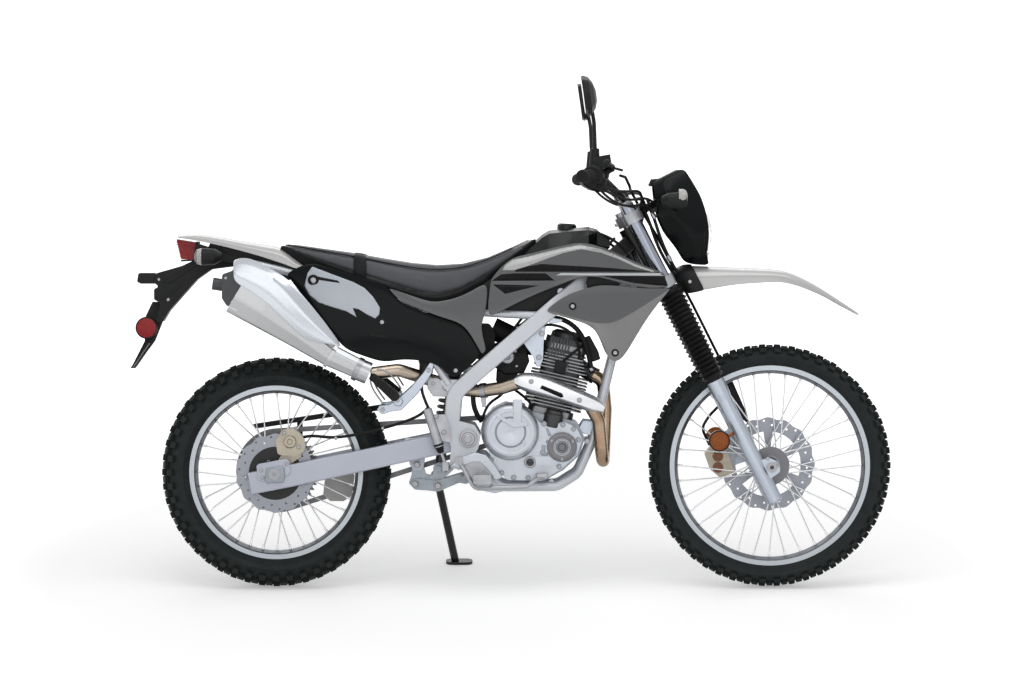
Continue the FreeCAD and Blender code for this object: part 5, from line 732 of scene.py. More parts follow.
SEAT_GUIDE = mirrored([(0.985, 0.0), (1.015, 0.22), (1.01, 0.5), (0.93, 0.8), (0.78, 0.925), (0.55, 0.975),
                       (0.28, 0.995), (0.0, 1.0)])
SEAT_VOXEL = 0.006
SEAT_PRESSURE = 3.0
SEAT_FRAMES = 16
SEAT_MOST_MOVE = 0.004
SEAT_SPARE_HEIGHT = 1.0


def seat_ring(x, top, low, half):
    """Half-way round the seat, from the left edge over the crown to the right edge."""
    return [(x, y * half, low + z * (top - low)) for y, z in SEAT_GUIDE]


def seat_pad():
    """The crowned foam under its vinyl cover, swelled by a short cloth run."""
    bm = bmesh.new()
    grid = weave(bm, [seat_ring(*station) for station in SEAT_STATIONS], bike)
    bm.faces.new(grid[0])
    bm.faces.new(grid[-1][::-1])
    for one, two in zip(grid[:-1], grid[1:]):
        bm.faces.new((one[0], two[0], two[-1], one[-1]))
    bmesh.ops.recalc_face_normals(bm, faces=bm.faces)
    made = piece("seat_pad", bm, SEAT, smooth=80.0, replaces=("seat",))
    smoother(made, 1)
    modifier(made, "REMESH", mode="VOXEL", voxel_size=SEAT_VOXEL, use_smooth_shade=True)
    keep_shape(made)
    start = [vert.co.copy() for vert in made.data.vertices]
    cloth = modifier(made, "CLOTH")
    cloth.settings.use_pressure = True
    cloth.settings.uniform_pressure_force = SEAT_PRESSURE
    cloth.settings.quality = 6
    cloth.settings.tension_stiffness = 25.0
    cloth.settings.compression_stiffness = 25.0
    cloth.settings.effector_weights.gravity = 0.0
    cloth.point_cache.frame_end = SEAT_FRAMES
    for step in range(1, SEAT_FRAMES + 1):
        bpy.context.scene.frame_set(step)
    keep_shape(made)
    bpy.context.scene.frame_set(1)
    for vert, origin in zip(made.data.vertices, start):
        move = vert.co - origin
        if move.length > SEAT_MOST_MOVE:
            vert.co = origin + move.normalized() * SEAT_MOST_MOVE
        point = to_bike(vert.co)
        limit = seat_limit(point.x)
        if limit and point.z > limit:
            vert.co = vert.co - UP * (point.z - limit) * MM
    smoother(made, 1)
    return made


def seat_limit(x):
    """The highest a seat point may stand."""
    for (x0, top0, *_), (x1, top1, *_) in zip(SEAT_STATIONS[:-1], SEAT_STATIONS[1:]):
        if x0 <= x <= x1:
            return top0 + (top1 - top0) * (x - x0) / (x1 - x0) + SEAT_SPARE_HEIGHT
    return None


def keep_shape(made):
    """Replaces the mesh by what its modifiers make of it."""
    graph = bpy.context.evaluated_depsgraph_get()
    graph.update()
    shaped = bpy.data.meshes.new_from_object(made.evaluated_get(graph), depsgraph=graph)
    made.modifiers.clear()
    made.data = shaped
    shaped.polygons.foreach_set("use_smooth", [True] * len(shaped.polygons))


def seat_point(x, turn, lift):
    """A place on the seat's skin: turn runs from -1 at the right edge over the top to 1."""
    for one, two in zip(SEAT_STATIONS[:-1], SEAT_STATIONS[1:]):
        if one[0] <= x <= two[0]:
            share = (x - one[0]) / (two[0] - one[0])
            ring = seat_ring(*(a + (b - a) * share for a, b in zip((x, *one[1:]), (x, *two[1:]))))
    at = (1 - turn) / 2 * (len(ring) - 1)
    index = min(int(at), len(ring) - 2)
    spot = Vector([p + (q - p) * (at - index) for p, q in zip(ring[index], ring[index + 1])])
    away = (spot - Vector((x, 0, ring[0][2]))).normalized()
    return bike(*(spot + away * lift))


def seat_trim():
    """The grab strap across the seat, and the piping along both sides of its top panel."""
    bm = bmesh.new()
    turns = [1.02 - 0.068 * k for k in range(31)]
    rows = [[seat_point(x, turn, lift) for turn in turns]
            for x, lift in ((219, 0.5), (220.5, 3.4), (227, 4.6), (246, 4.6), (253, 3.4), (254.5, 0.5))]
    weave(bm, rows, lambda *point: Vector(point))
    smoother(piece("seat_strap", bm, WEBBING, smooth=50.0), 1)
    for side, name in ((1, "left"), (-1, "right")):
        points = [seat_point(x, side * 0.5, 1.2) for x in range(30, 700, 45)]
        tube("seat_piping_" + name, points, 1.9, WELT, resolution=4)


def seat_pan_and_painted_shadow():
    """The dark plastic pan that carries the foam down to the panels and the tank; where it reaches below the
    seat's edge it is a dark sheet, painted shadow.
    """
    grids = [(LEFT * side, [[(x, side * (half - inset), low + rise) for x, _, low, half in SEAT_STATIONS]
                            for inset, rise in ((5, 6), (7, -6), (16, -30))]) for side in (1, -1)]
    sheet("seat_pan_and_painted_shadow", grids, TRIM, 2.4, levels=1, bevel=0)


seat_pad()
seat_trim()
seat_pan_and_painted_shadow()
twin_sheet("inner_panels", [[(555, 836, 84), (600, 866, 82), (650, 888, 80), (712, 896, 80), (780, 896, 82),
    (850, 896, 84)], [(566, 766, 90), (610, 764, 88), (660, 762, 88), (716, 760, 88), (776, 797, 86),
    (846, 850, 86)]], TRIM, thickness=2.0, levels=1)
twin_sheet("slot_backs", [[(862, 874, 110), (900, 882, 114), (964, 874, 124)], [(862, 834, 110),
    (900, 836, 114), (964, 838, 124)]], TRIM, thickness=2.0, levels=1)
twin_sheet("tail_side_panels", [[(-190, 972, 60), (-140, 960, 66), (-100, 950, 71), (-60, 939, 75),
    (-24, 928, 78), (8, 917, 80), (46, 903, 83), (80, 892, 85)], [(-190, 930, 58), (-140, 918, 62),
    (-100, 906, 66), (-60, 896, 70), (-24, 886, 73), (8, 874, 76), (46, 862, 79), (80, 856, 82)]], TRIM,
    thickness=2.0, levels=1)

# Fenders

FRONT_FENDER = [(74, 2, -76, 70), (100, -9, -86, 84), (140, -31, -98, 84), (188, -57, -112, 83),
    (232, -81, -130, 81), (276, -105, -149, 78), (312, -126, -166, 75), (340, -146, -188, 71),
    (368, -178, -214, 65), (393, -213, -244, 56), (412, -244, -268, 49), (430, -275, -297, 39),
    (452, -313, -328, 26), (467, -341, -349, 13)]
REAR_FENDER = [(84, 899, 887, 92), (66, 912, 892, 91), (46, 928, 897, 90), (26, 944, 906, 88),
    (8, 954, 911, 87), (-24, 959, 922, 85), (-60, 964, 933, 82), (-100, 971, 944, 78), (-140, 978, 954, 73),
    (-180, 985, 963, 69), (-220, 989, 971, 64), (-250, 988, 976, 60), (-272, 984, 979, 54)]
ROOT_FENDER = [(56, -15, -70, 62), (66, -8, -78, 80), (84, -4, -84, 88), (102, -11, -88, 87.5),
    (109, -15, -89, 86.5)]
FENDER_GUIDE = mirrored([(1.0, 0.0), (0.99, 0.3), (0.965, 0.52), (0.84, 0.8), (0.6, 0.93), (0.3, 0.985),
                         (0.0, 1.0)])


def fender(name, stations, material, fold, lift=0.0, offset=-1.0, place=bike, body="chassis", replaces=()):
    """A folded fender, from (reach, top, low, half width): a crown, a sharp shoulder and lips."""
    rows = [[(a, half * y, low + (top + lift - low) * s) for a, top, low, half in stations]
            for y, s in FENDER_GUIDE]
    sheet(name, [(UP, rows)], material, 3.0, bevel=0.8, offset=offset, place=place,
          creases={2: fold, 10: fold}, smooth=38.0, body=body, replaces=replaces)


fender("front_fender_shell", FRONT_FENDER, SILVER, 0.7, replaces=("front_fender",), **ON_FORK)
fender("rear_fender_shell", REAR_FENDER, SILVER, 0.7, replaces=("rear_fender",))
fender("fender_root", ROOT_FENDER, TRIM, 0.8, lift=2.5, offset=1.0, **ON_FORK)

# Headlamp mask, in the levels of the solid:
# (height, back edge, half width, widest place, half width, front, half width)

COWL_LEVELS = [
    (-33, 150, 34, 152, 36, 154, 36), (-4, 98, 52, 128, 62, 163, 54), (49, 95, 72, 140, 92, 195, 84),
    (102, 84, 88, 136, 112, 212, 66), (150, 86, 98, 130, 118, 219, 58), (200, 101, 92, 136, 110, 216, 52),
    (236, 114, 74, 150, 88, 212, 44), (246, 122, 58, 152, 66, 186, 42)]
LAMP_LEVELS = ((99, 62), (74, 71), (49, 80), (20, 64), (-8, 50))


def cowl_at(s):
    """The mask's level at a height."""
    for low, high in zip(COWL_LEVELS[:-1], COWL_LEVELS[1:]):
        if low[0] <= s <= high[0]:
            share = (s - low[0]) / (high[0] - low[0])
            return [a + (b - a) * share for a, b in zip(low, high)]
    return list(COWL_LEVELS[-1])


def cowl_side(s, share):
    """A point round one flank, from the back edge (0) over the widest place (1) to the front (2)."""
    _, back, back_half, middle, middle_half, front, front_half = cowl_at(s)
    if share <= 1:
        return back + (middle - back) * share, back_half + (middle_half - back_half) * share
    return middle + (front - middle) * (share - 1), middle_half + (front_half - middle_half) * (share - 1)


def headlamp_mask():
    """Two glossy flanks with a swept crease, a smoked screen over the lamp, a hood and a chin."""
    heights = (-30, -4, 22, 49, 76, 102, 126, 150, 176, 200, 220, 236, 244)
    sweep = {0.0: 140, 0.35: 132, 0.7: 120, 1.0: 112, 1.3: 96, 1.65: 70, 2.0: 30}
    flanks = []
    for side in (1, -1):
        rows = []
        for s in heights:
            row = []
            for share, fold in sweep.items():
                a, y = cowl_side(s, share)
                below = min(max((fold - s) / 16.0, 0.0), 1.0) * (1 - abs(share - 1) * 0.5)
                row.append((a, side * (y - 0.6 - 4.5 * below), s))
            rows.append(row)
        flanks.append((LEFT * side, rows))
    sheet("mask_flanks", flanks, GLOSS_BLACK, 3.0, bevel=0.6, creases={0: 1.0, 12: 1.0}, smooth=30.0,
          replaces=("headlight_cowl",), **ON_FORK)

    rows = []
    for s in (104, 126, 150, 176, 200, 222, 238, 245):
        a, y = cowl_side(s, 2.0)
        row = [(a - 1.5, -y - 1.0, s), (a + 0.5, -y * 0.8, s), (a + 1.2, -y * 0.4, s), (a + 1.4, 0, s)]
        rows.append(row + [(p, -q, s) for p, q, s in reversed(row[:-1])])
    sheet("screen", [(None, rows)], SMOKE, 2.2, bevel=0.5, creases={0: 1.0, 7: 1.0}, **ON_FORK)

    rows = []
    for share in (0.55, 0.8, 1.0, 1.4, 1.8):
        a, y = cowl_side(241, share)
        rows.append([(a, y * k, 244 - 2 * abs(k) + (2.5 if k == 0 else 0))
                     for k in (-0.98, -0.5, 0.0, 0.5, 0.98)])
    sheet("mask_top", [(None, rows)], GLOSS_BLACK, 2.5, bevel=0.5, **ON_FORK)

    rows = []
    for s in (-31, -20, -4, 2):
        a, y = cowl_side(s, 2.0)
        rows.append([(a, y * k, s) for k in (-1, -0.5, 0, 0.5, 1)])
    sheet("mask_chin", [(None, rows)], TRIM, 3.0, bevel=0.5, **ON_FORK)


def headlamp():
    """The bowed glass, its rim, a reflector bowl with a bulb shield, and the dark housing behind."""
    rows = []
    for s, half in LAMP_LEVELS:
        bows = mirrored([(-1, 6), (-0.8, 9), (-0.45, 12), (0, 13)])
        front = cowl_at(s)[5] + 0.6
        rows.append([(front + bow * (0.6 if s in (99, -8) else 1.0), half * k, s) for k, bow in bows])
    sheet("lamp_glass", [(None, rows)], CLEAR, 2.0, bevel=0.4, creases={0: 0.8, 4: 0.8}, smooth=50.0,
          replaces=("headlight_lens",), **ON_FORK)
    rims = [(LEFT * side, [[(cowl_at(s)[5] + ahead, side * (half - inward), s) for s, half in LAMP_LEVELS]
                           for ahead, inward in ((-6, 0.5), (0.5, -0.5), (6.4, 0.8))]) for side in (1, -1)]
    sheet("lamp_rim", rims, REFLECTOR, 1.6, bevel=0.4, **ON_FORK)
    centre, axis = steer(186, 0, 50), (STEER_FORWARD * 0.9 - STEER_UP * 0.42).normalized()
    bowl = [(-44, 14), (-40, 26), (-30, 40), (-16, 51), (-2, 58), (4, 60), (4, 62), (-4, 61)]
    bulb = [(-42, 0), (-42, 9), (-22, 9), (-17, 12), (-8, 12), (-6, 9), (-6, 0)]
    for name, profile, steps, material, smooth in (("lamp_bowl", bowl, 56, REFLECTOR, 60.0),
                                                   ("lamp_bulb", bulb, 32, CHROME, 40.0)):
        bm = bmesh.new()
        spin(bm, profile, centre, axis, steps)
        piece(name, bm, material, "steering", smooth)
    bm = bmesh.new()
    rows = [[(cowl_at(s)[5] - 14, half * k, s) for k in (-1, 0, 1)]
            for s, half in ((101, 64), (49, 83), (-10, 53))]
    weave(bm, rows, steer)
    back = piece("lamp_housing", bm, TRIM, "steering", 50.0)
    modifier(back, "SOLIDIFY", thickness=2.0 * MM)


headlamp_mask()
headlamp()

# Small pieces: fasteners, cast and turned bits, and hoses, each group on its own body


def facing_out(y):
    return LEFT * (1 if y > 0 else -1)


def fittings(name, material, rows, body="chassis", place=bike, axis=None, kind="hex"):
    """Bolt heads: (x, y, z, radius), facing away from the middle plane or along an axis."""
    bm = bmesh.new()
    for x, y, z, radius in rows:
        bolt(bm, place(x, y, z), axis or facing_out(y), radius, kind)
    piece(name, bm, material, body, 30.0)


def plates(name, material, rows, body="chassis", place=bike, bevel=1.0):
    """Flat or cast pieces: (side-view outline, y low, y high)."""
    bm = bmesh.new()
    for outline, low, high in rows:
        prism(bm, outline, low, high, place)
    rounded(piece(name, bm, material, body), bevel, 40.0)


def turnings(name, material, rows, body="chassis", place=bike, axis=None, steps=40):
    """Turned pieces: (x, y, z, profile), facing away from the middle plane or along an axis."""
    bm = bmesh.new()
    for x, y, z, profile in rows:
        spin(bm, profile, place(x, y, z), axis or facing_out(y), steps)
    piece(name, bm, material, body)


def runs(material, radius, routes, body="chassis"):
    """Short hoses and cables, fixed at both ends."""
    for name, points in routes.items():
        tube(name, [bike(*point) for point in points], radius, material, body)


def both_sides(rows):
    return [(x, side * y, z, *rest) for x, y, z, *rest in rows for side in (1, -1)]


def pair(outline, y, half):
    """The same plate on both sides, y from the middle plane and half its thickness to each side of that."""
    return [(outline, side * y - half, side * y + half) for side in (1, -1)]


def placed(spots, profile):
    """Turned pieces of one profile at several places."""
    return [(*spot, profile) for spot in spots]


def cap(radius, height):
    """The profile of a piston or a round cover with a hollow face."""
    return [(0, radius), (height, radius), (height + 3, radius - 3), (height + 3, 8), (height, 6),
            (height, 0)]


for node in ("crankcase", "clutch_cover", "swingarm", "rear_brake", "front_caliper", "undertail",
             "foot_controls", "fuel_tank", "fork_clamps", "instrument", "chain_guides"):
    cad_node = frame["nodes"][node]
    modifier(cad_node, "WELD", merge_threshold=0.00002)
    rounded(cad_node, 1.2, 38.0).use_clamp_overlap = True
    modifier(cad_node, "WEIGHTED_NORMAL", keep_sharp=True)

# Engine

CASE_FACE = -104.3
BULGE_FACE = -136.3
plates("clutch_arm", COVER, [
    ([(613, 483), (619, 490), (662, 468), (662, 531), (688, 531), (685, 470), (704, 465), (702, 457),
     (664, 452)], BULGE_FACE - 3.5, BULGE_FACE + 8),
    ([(686, 416), (695, 400), (700, 403), (691, 419)], BULGE_FACE - 2.5, BULGE_FACE + 4)], bevel=1.6)
turnings("clutch_rings", COVER, [(655, BULGE_FACE, 440, [(-2, 64), (1.6, 64), (2.2, 62.5), (2.2, 57),
    (1.6, 55.5), (-2, 55.5)]), (655, BULGE_FACE, 440, [(2, 0), (-0.6, 0), (1.2, 6), (0.6, 38), (-3.9, 41)])],
    steps=72)
turnings("clutch_fitting", SILVER_TRIM, [(675, -118, 462, [(0, 0), (0, 12), (6, 13), (10, 10), (48, 9),
    (50, 12), (58, 12), (60, 9), (68, 9), (68, 0)])], axis=UP)
CASE_BOLTS = [(601, 362), (630, 326), (664, 313), (704, 312), (742, 313), (790, 343), (831, 379), (844, 418),
    (830, 448), (800, 460), (748, 462), (716, 484)]
fittings("case_bolts", STEEL, [(x, CASE_FACE, z, 4.6) for x, z in CASE_BOLTS])
plates("case_bolt_bosses", CASE, [([(x + 8 * math.cos(t), z + 8 * math.sin(t))
    for t in circle(12)], CASE_FACE - 1.5, CASE_FACE + 22) for x, z in CASE_BOLTS], bevel=0.8)
turnings("filter_cover_rings", DARK_STEEL, [(798, -118, 398, [(0, 41), (3, 41), (4.6, 38), (4.6, 24), (3, 22),
    (0, 22)]), (798, -116, 398, [(0, 18), (4, 18), (5, 16), (5, 11), (2.5, 9), (2.5, 0)])], steps=56)
fittings("filter_cover_bolts", STEEL, [(798 + 34 * math.cos(t), -122.8, 398 + 34 * math.sin(t), 3.8)
    for t in (0.5, 2.6, 4.7)])
turnings("sight_glass_ring", STEEL, [(709, -110, 356, [(0, 16), (4, 16), (6, 14.5), (6, 11), (4, 10),
    (2, 10)])])
turnings("sight_glass", SMOKE, [(709, -110, 356, [(1, 10.4), (4.2, 10.2), (5.0, 6), (5.2, 0)])])
plates("case_ribs", CASE, [
    ([(742, 404), (752, 402), (748, 352), (740, 352)], CASE_FACE - 3, CASE_FACE + 4),
    ([(752, 452), (760, 448), (768, 430), (760, 428)], CASE_FACE - 3, CASE_FACE + 4),
    ([(738, 388), (760, 380), (758, 373), (736, 380)], CASE_FACE - 5, CASE_FACE + 4),
    ([(756, 418), (768, 412), (766, 404), (752, 410)], CASE_FACE - 4, CASE_FACE + 4)], bevel=1.5)
turnings("starter", DARK_PAINT, [(769, -84, 452, [(0, 0), (0, 24), (3, 26), (36, 27), (38, 24), (46, 24),
    (50, 20), (50, 0)])], axis=(UP + FORWARD * 0.2).normalized())
fittings("engine_mounts", STEEL, both_sides([(868, 66, 412, 8), (690, 62, 508, 7), (742, 72, 712, 7),
    (734, 72, 646, 7), (536, 133, 422, 12)]))
plates("head_hanger", SLIDER, [([(676, 704), (690, 712), (735, 729), (754, 737), (748, 690), (746, 640),
    (738, 620), (727, 620), (716, 650)], y, y + 5) for y in (-71, 66)], bevel=1.4)
PIVOT_LUG = [(486, 346), (510, 367), (556, 384), (587, 377), (612, 349), (633, 314), (612, 306), (591, 335),
    (570, 356), (549, 356), (514, 342)]
plates("pivot_lugs", COVER, pair(PIVOT_LUG, 131, 6), bevel=3.0)
plates("front_hanger", SLIDER, [([(846, 452), (858, 470), (892, 466), (898, 440), (876, 428),
    (850, 436)], y, y + 5) for y in (-66, 61)], bevel=1.4)

plates("plug_cap", TRIM, [([(780, 640), (806, 634), (812, 628), (806, 602), (798, 598),
    (776, 606)], -94, -70)], bevel=2.5)
plates("coil", TRIM, [([(850, 696), (876, 706), (900, 662), (906, 640), (884, 632), (862, 664)], -52, -16)],
    bevel=3.0)
plates("cam_cover_ribs", FINS, [([(774 + 9 * k, 648 + 2 * k), (779 + 9 * k, 649 + 2 * k),
    (791 + 9 * k, 700 - k), (786 + 9 * k, 701 - k)], -64, 60) for k in range(-2, 5)], bevel=1.0)
plates("carburettor", TRIM, [
    ([(600, 678), (640, 694), (700, 668), (708, 634), (692, 600), (640, 596), (606, 620)], -40, 40),
    ([(616, 612), (676, 606), (672, 566), (660, 556), (626, 560), (614, 580)], -34, 34)], bevel=4.0)
fittings("carburettor_screws", STEEL, [(622, -40, 632, 4), (622, -40, 666, 4), (672, -40, 620, 4),
    (668, -40, 662, 4), (626, -34, 570, 3.4), (662, -34, 570, 3.4)], kind="socket")
turnings("carburettor_cover", CLAMP, [(646, -40, 646, cap(20, 6))])
runs(RUBBER, 7.0, {
    "hose_over_head": [(672, -58, 724), (706, -76, 752), (770, -80, 764), (826, -74, 742), (862, -66, 700),
        (876, -60, 640), (882, -58, 600)],
    "hose_behind_case": [(566, -70, 612), (552, -84, 570), (548, -88, 530), (556, -84, 492),
        (574, -70, 468)]})
runs(RUBBER, 4.0, {
    "hose_breather": [(690, -64, 700), (724, -84, 736), (782, -88, 742), (834, -80, 712), (850, -70, 668),
        (846, -60, 640)],
    "plug_lead": [(800, -86, 634), (822, -98, 654), (848, -86, 674), (862, -52, 682)],
    "fuel_line": [(640, -44, 690), (664, -58, 728), (700, -50, 770), (720, -40, 800)],
    "drain_hose": [(640, -30, 560), (634, -60, 540), (606, -80, 530), (584, -84, 505), (576, -70, 470)],
    "overflow": [(660, -20, 558), (690, -76, 540), (704, -84, 528), (716, -76, 510)],
    "loom_right": [(870, -40, 1000), (930, -44, 985), (976, -42, 948), (996, -36, 906), (1000, -30, 872)],
    "loom_head": [(880, -30, 985), (940, -30, 968), (984, -26, 925), (1000, -20, 884)],
    "throttle_cable": [(946, -34, 978), (900, -42, 930), (846, -50, 850), (780, -56, 770), (716, -54, 716),
        (676, -44, 690)]})
turnings("hose_clips", STEEL, placed([(676, -59, 728), (880, -58, 612)], [(-4, 8.2), (4, 8.2), (4, 7)]),
    axis=(FORWARD + UP * 0.8).normalized(), steps=24)

# Frame: the gusset at the seat brace, the fittings round the pivot, and the lower brackets

plates("brace_gusset", CLAMP, pair([(424, 590), (452, 590), (520, 552), (505, 536), (440, 538),
    (424, 560)], 97, 3), bevel=1.5)
fittings("brace_bolts", STEEL, both_sides([(474, 100, 562, 8), (440, 100, 574, 5)]), kind="socket")
turnings("pivot_caps", STEEL, both_sides([(538, 133.4, 422, [(-2, 25), (2, 25), (3.4, 23), (3.4, 19),
    (1.5, 18), (1.5, 17.4)])]))
plates("spar_gusset", SLIDER, pair([(752, 760), (800, 752), (796, 744), (764, 740)], 98, 8), bevel=1.5)
plates("lower_bracket", COVER, pair([(548, 300), (572, 318), (606, 312), (650, 276), (610, 268),
    (572, 276)], 84, 4), bevel=1.5)
fittings("lower_bracket_bolts", STEEL, both_sides([(578, 88, 300, 6), (606, 88, 292, 6)]))

# Exhaust

HEADER_SHIELD = [
    [(668, 594, -124), (684, 608, -127), (738, 604, -129), (794, 582, -127), (867, 550, -121),
     (903, 534, -115), (920, 514, -110)],
    [(664, 588, -137), (682, 598, -144), (738, 593, -146), (794, 570, -144), (867, 538, -138),
     (901, 524, -132), (918, 508, -122)],
    [(666, 576, -138), (690, 564, -145), (742, 550, -147), (798, 533, -144), (852, 514, -138),
     (884, 503, -132), (912, 496, -122)],
    [(670, 566, -126), (694, 551, -129), (748, 538, -131), (804, 521, -128), (852, 503, -122),
     (880, 494, -116), (904, 490, -110)]]
header_shield = sheet("header_shield", [(-LEFT, HEADER_SHIELD)], PALE_STEEL, 1.6, bevel=0.5, place=side_view,
    creases={0: 0.6, 1: 0.5, 2: 0.5, 3: 0.6}, smooth=45.0, replaces=("heat_shields",))
on_shield = surface(header_shield)
applique("header_shield_slot", [[(736, 562), (742, 571), (798, 548), (802, 538),
    (794, 536)]], on_shield, DECAL_BLACK, lift=0.4, sides=(-1,))
fittings("header_shield_bolts", STEEL, [(712, -146, 581, 7), (846, -140.5, 529, 7)], kind="socket")
CAN_SHIELD = [
    [(-109, 919, -178), (-72, 927, -182), (-30, 908, -184), (11, 886, -186), (48, 861, -186),
     (100, 800, -182), (150, 738, -174), (192, 678, -168)],
    [(-108, 908, -200), (-72, 908, -204), (-27, 890, -206), (5, 868, -206), (32, 838, -205), (74, 782, -199),
     (127, 726, -189), (180, 680, -178)],
    [(-107, 880, -206), (-72, 864, -209), (-32, 842, -209), (-2, 818, -208), (23, 792, -206), (60, 748, -199),
     (106, 708, -188), (150, 686, -180)],
    [(-106, 857, -200), (-72, 838, -202), (-35, 813, -202), (-5, 790, -201), (20, 765, -199), (55, 730, -192),
     (85, 702, -184), (110, 690, -179)]]
sheet("can_shield", [(-LEFT, CAN_SHIELD)], SHIELD, 1.8, bevel=0.6, place=side_view,
    creases={0: 0.8, 1: 0.7, 2: 0.5, 3: 0.8}, replaces=("heat_shields",))
fittings("can_bolts", STEEL, [(-112, -186, 802, 4.5), (-130, -186, 868, 4.5)], kind="socket")
turnings("exhaust_clamps", STEEL, [(580, -86, 553.6, [(-8, 19), (-8, 21.5), (8, 21.5), (8, 19)])],
    axis=(FORWARD * 0.97 + LEFT * -0.3 + UP * 0.14).normalized())
turnings("can_inlet_clamp", STEEL, [(232, -130, 615, [(-7, 31), (-7, 34), (7, 34), (7, 31)])],
    axis=(FORWARD * 0.9 - UP * 0.43).normalized())
plates("exhaust_clamp_lugs", STEEL, [([(572, 534), (588, 536), (586, 508), (576, 508)], -94, -88)], bevel=1.0)

# Panels: bolts with rubber rings, and the dark inner fins behind the scoops


def panel_bolts(name, drop, rows):
    """Socket bolts on a panel, each in a black rubber ring: (x, z, bolt radius, ring radius)."""
    screws, rings = bmesh.new(), bmesh.new()
    for x, z, radius, ring in rows:
        profile = [(-1.5, ring), (1.6, ring), (2.4, ring - 1.5), (2.4, radius + 1.2), (1.0, radius)]
        for side in (1, -1):
            spot = drop(x, z, side)
            bolt(screws, spot, LEFT * side, radius, "socket")
            spin(rings, profile, spot, LEFT * side, 40)
    piece(name + "_rings", rings, RUBBER)
    piece(name, screws, STEEL, smooth=35.0)


panel_bolts("scoop_bolts", on_scoop, [(827, 789, 6.5, 10.5), (945, 660, 6.5, 10.5)])
panel_bolts("rear_panel_bolts", on_rear, [(299, 745, 6.5, 9.5), (503, 611, 6.5, 9.5)])
panel_bolts("rear_panel_boss", surface(rear_patch, rear_cover), [(108, 861, 9, 15.5)])
applique("rear_panel_slot", [[(262, 713), (316, 704), (314, 700), (264, 707)]], on_rear, RUBBER, lift=0.8)
twin_sheet("inner_fins", [[(945, 652, 106), (966, 684, 112), (986, 714, 118), (1006, 744, 125)],
    [(974, 668, 106), (990, 690, 110), (1004, 714, 115), (1020, 744, 122)]], TRIM, thickness=2.4)

# Tail

plates("tail_light_ribs", RED, [([(-278.4 + 13.5 * t, 972 - 52 * t), (-224 - 5.5 * t, 965 - 48 * t),
    (-224.4 - 5.5 * t, 962 - 48 * t), (-277.8 + 13.5 * t, 969 - 52 * t)], -43.4, 43.4)
    for t in (0.08 + 0.13 * k for k in range(7))], bevel=0.5)
plates("tail_light_frame", TRIM, [([(-222, 968), (-216, 967), (-221, 914), (-264, 912), (-265, 917),
    (-228, 918)], -43, 43)], bevel=1.0)
turnings("tail_signal_lenses", SIGNAL_LENS, both_sides([(-192, 123, 926, [(0, 23.6), (12, 23.4), (22, 20.5),
    (27, 14), (28.5, 0)])]), axis=-FORWARD)
turnings("tail_signal_boots", RUBBER, both_sides([(-178, 68, 926, [(0, 14), (10, 14), (14, 12.5), (18, 13.2),
    (22, 11.5), (26, 12), (30, 9)])]))
plates("plate_bracket_ribs", TRIM, [
    ([(-318, 856), (-298, 862), (-224, 908), (-190, 920), (-192, 914), (-222, 900), (-296, 852)], -41, 41),
    ([(-322, 806), (-304, 810), (-262, 846), (-266, 850), (-306, 818)], -40.5, 40.5)], bevel=1.2)
turnings("reflector_rims", TRIM, both_sides([(-362, 18, 727, [(-4, 31), (9, 31), (13.5, 30), (13.5, 27.6),
    (11.5, 27.4)])]))
turnings("rear_reflector_dome", RED, both_sides([(-362, 29, 727, [(-1, 28.2), (2.5, 27), (3.4, 14),
    (3.6, 0)])]))
plates("mud_flap", RUBBER, [([(-348, 700), (-358, 700), (-399, 624), (-402.5, 615), (-396, 613),
    (-362, 672)], -16, 16)], bevel=1.0)
fittings("plate_bolts", STEEL, both_sides([(-300, 38.4, 806, 4.0), (-326, 38.4, 862, 3.6)]))

# Passenger pegs, folded up, and their brackets

PEG = [(262, 590), (276, 606), (342, 552), (350, 538), (338, 526), (326, 528)]
plates("passenger_pegs", TRIM, pair(PEG, 134, 15), bevel=4.0)
plates("passenger_peg_ribs", RUBBER, [([(270 + 10 * k, 606 - 8.2 * k), (275 + 10 * k, 602 - 8.2 * k),
    (268 + 10 * k, 584 - 8.2 * k), (263 + 10 * k, 588 - 8.2 * k)], side * 134 - 17, side * 134 + 17)
    for k in range(7) for side in (1, -1)], bevel=0.8)
plates("passenger_peg_brackets", SLIDER, pair([(284, 502), (298, 488), (322, 496), (352, 500), (398, 546),
    (436, 602), (446, 640), (434, 640), (414, 606), (380, 566), (340, 530), (316, 516), (292, 514)], 112, 4),
    bevel=2.0)
plates("passenger_peg_hinges", SLIDER, [([(326, 540), (344, 544), (358, 526), (350, 512),
    (334, 514)], side * 120 - 10, side * 120 + 8) for side in (1, -1)], bevel=2.5)
fittings("passenger_peg_bolts", STEEL, both_sides([(300, 116, 502, 6), (428, 116, 612, 6),
    (342, 130, 528, 5)]))
runs(STEEL, 2.6, {"peg_loop_" + word: [(352, side * 122, 560), (330, side * 138, 596), (304, side * 142, 618),
    (276, side * 138, 612), (262, side * 126, 586), (272, side * 116, 556), (300, side * 112, 520)]
    for word, side in (("left", 1), ("right", -1))})

# Swingarm and rear brake

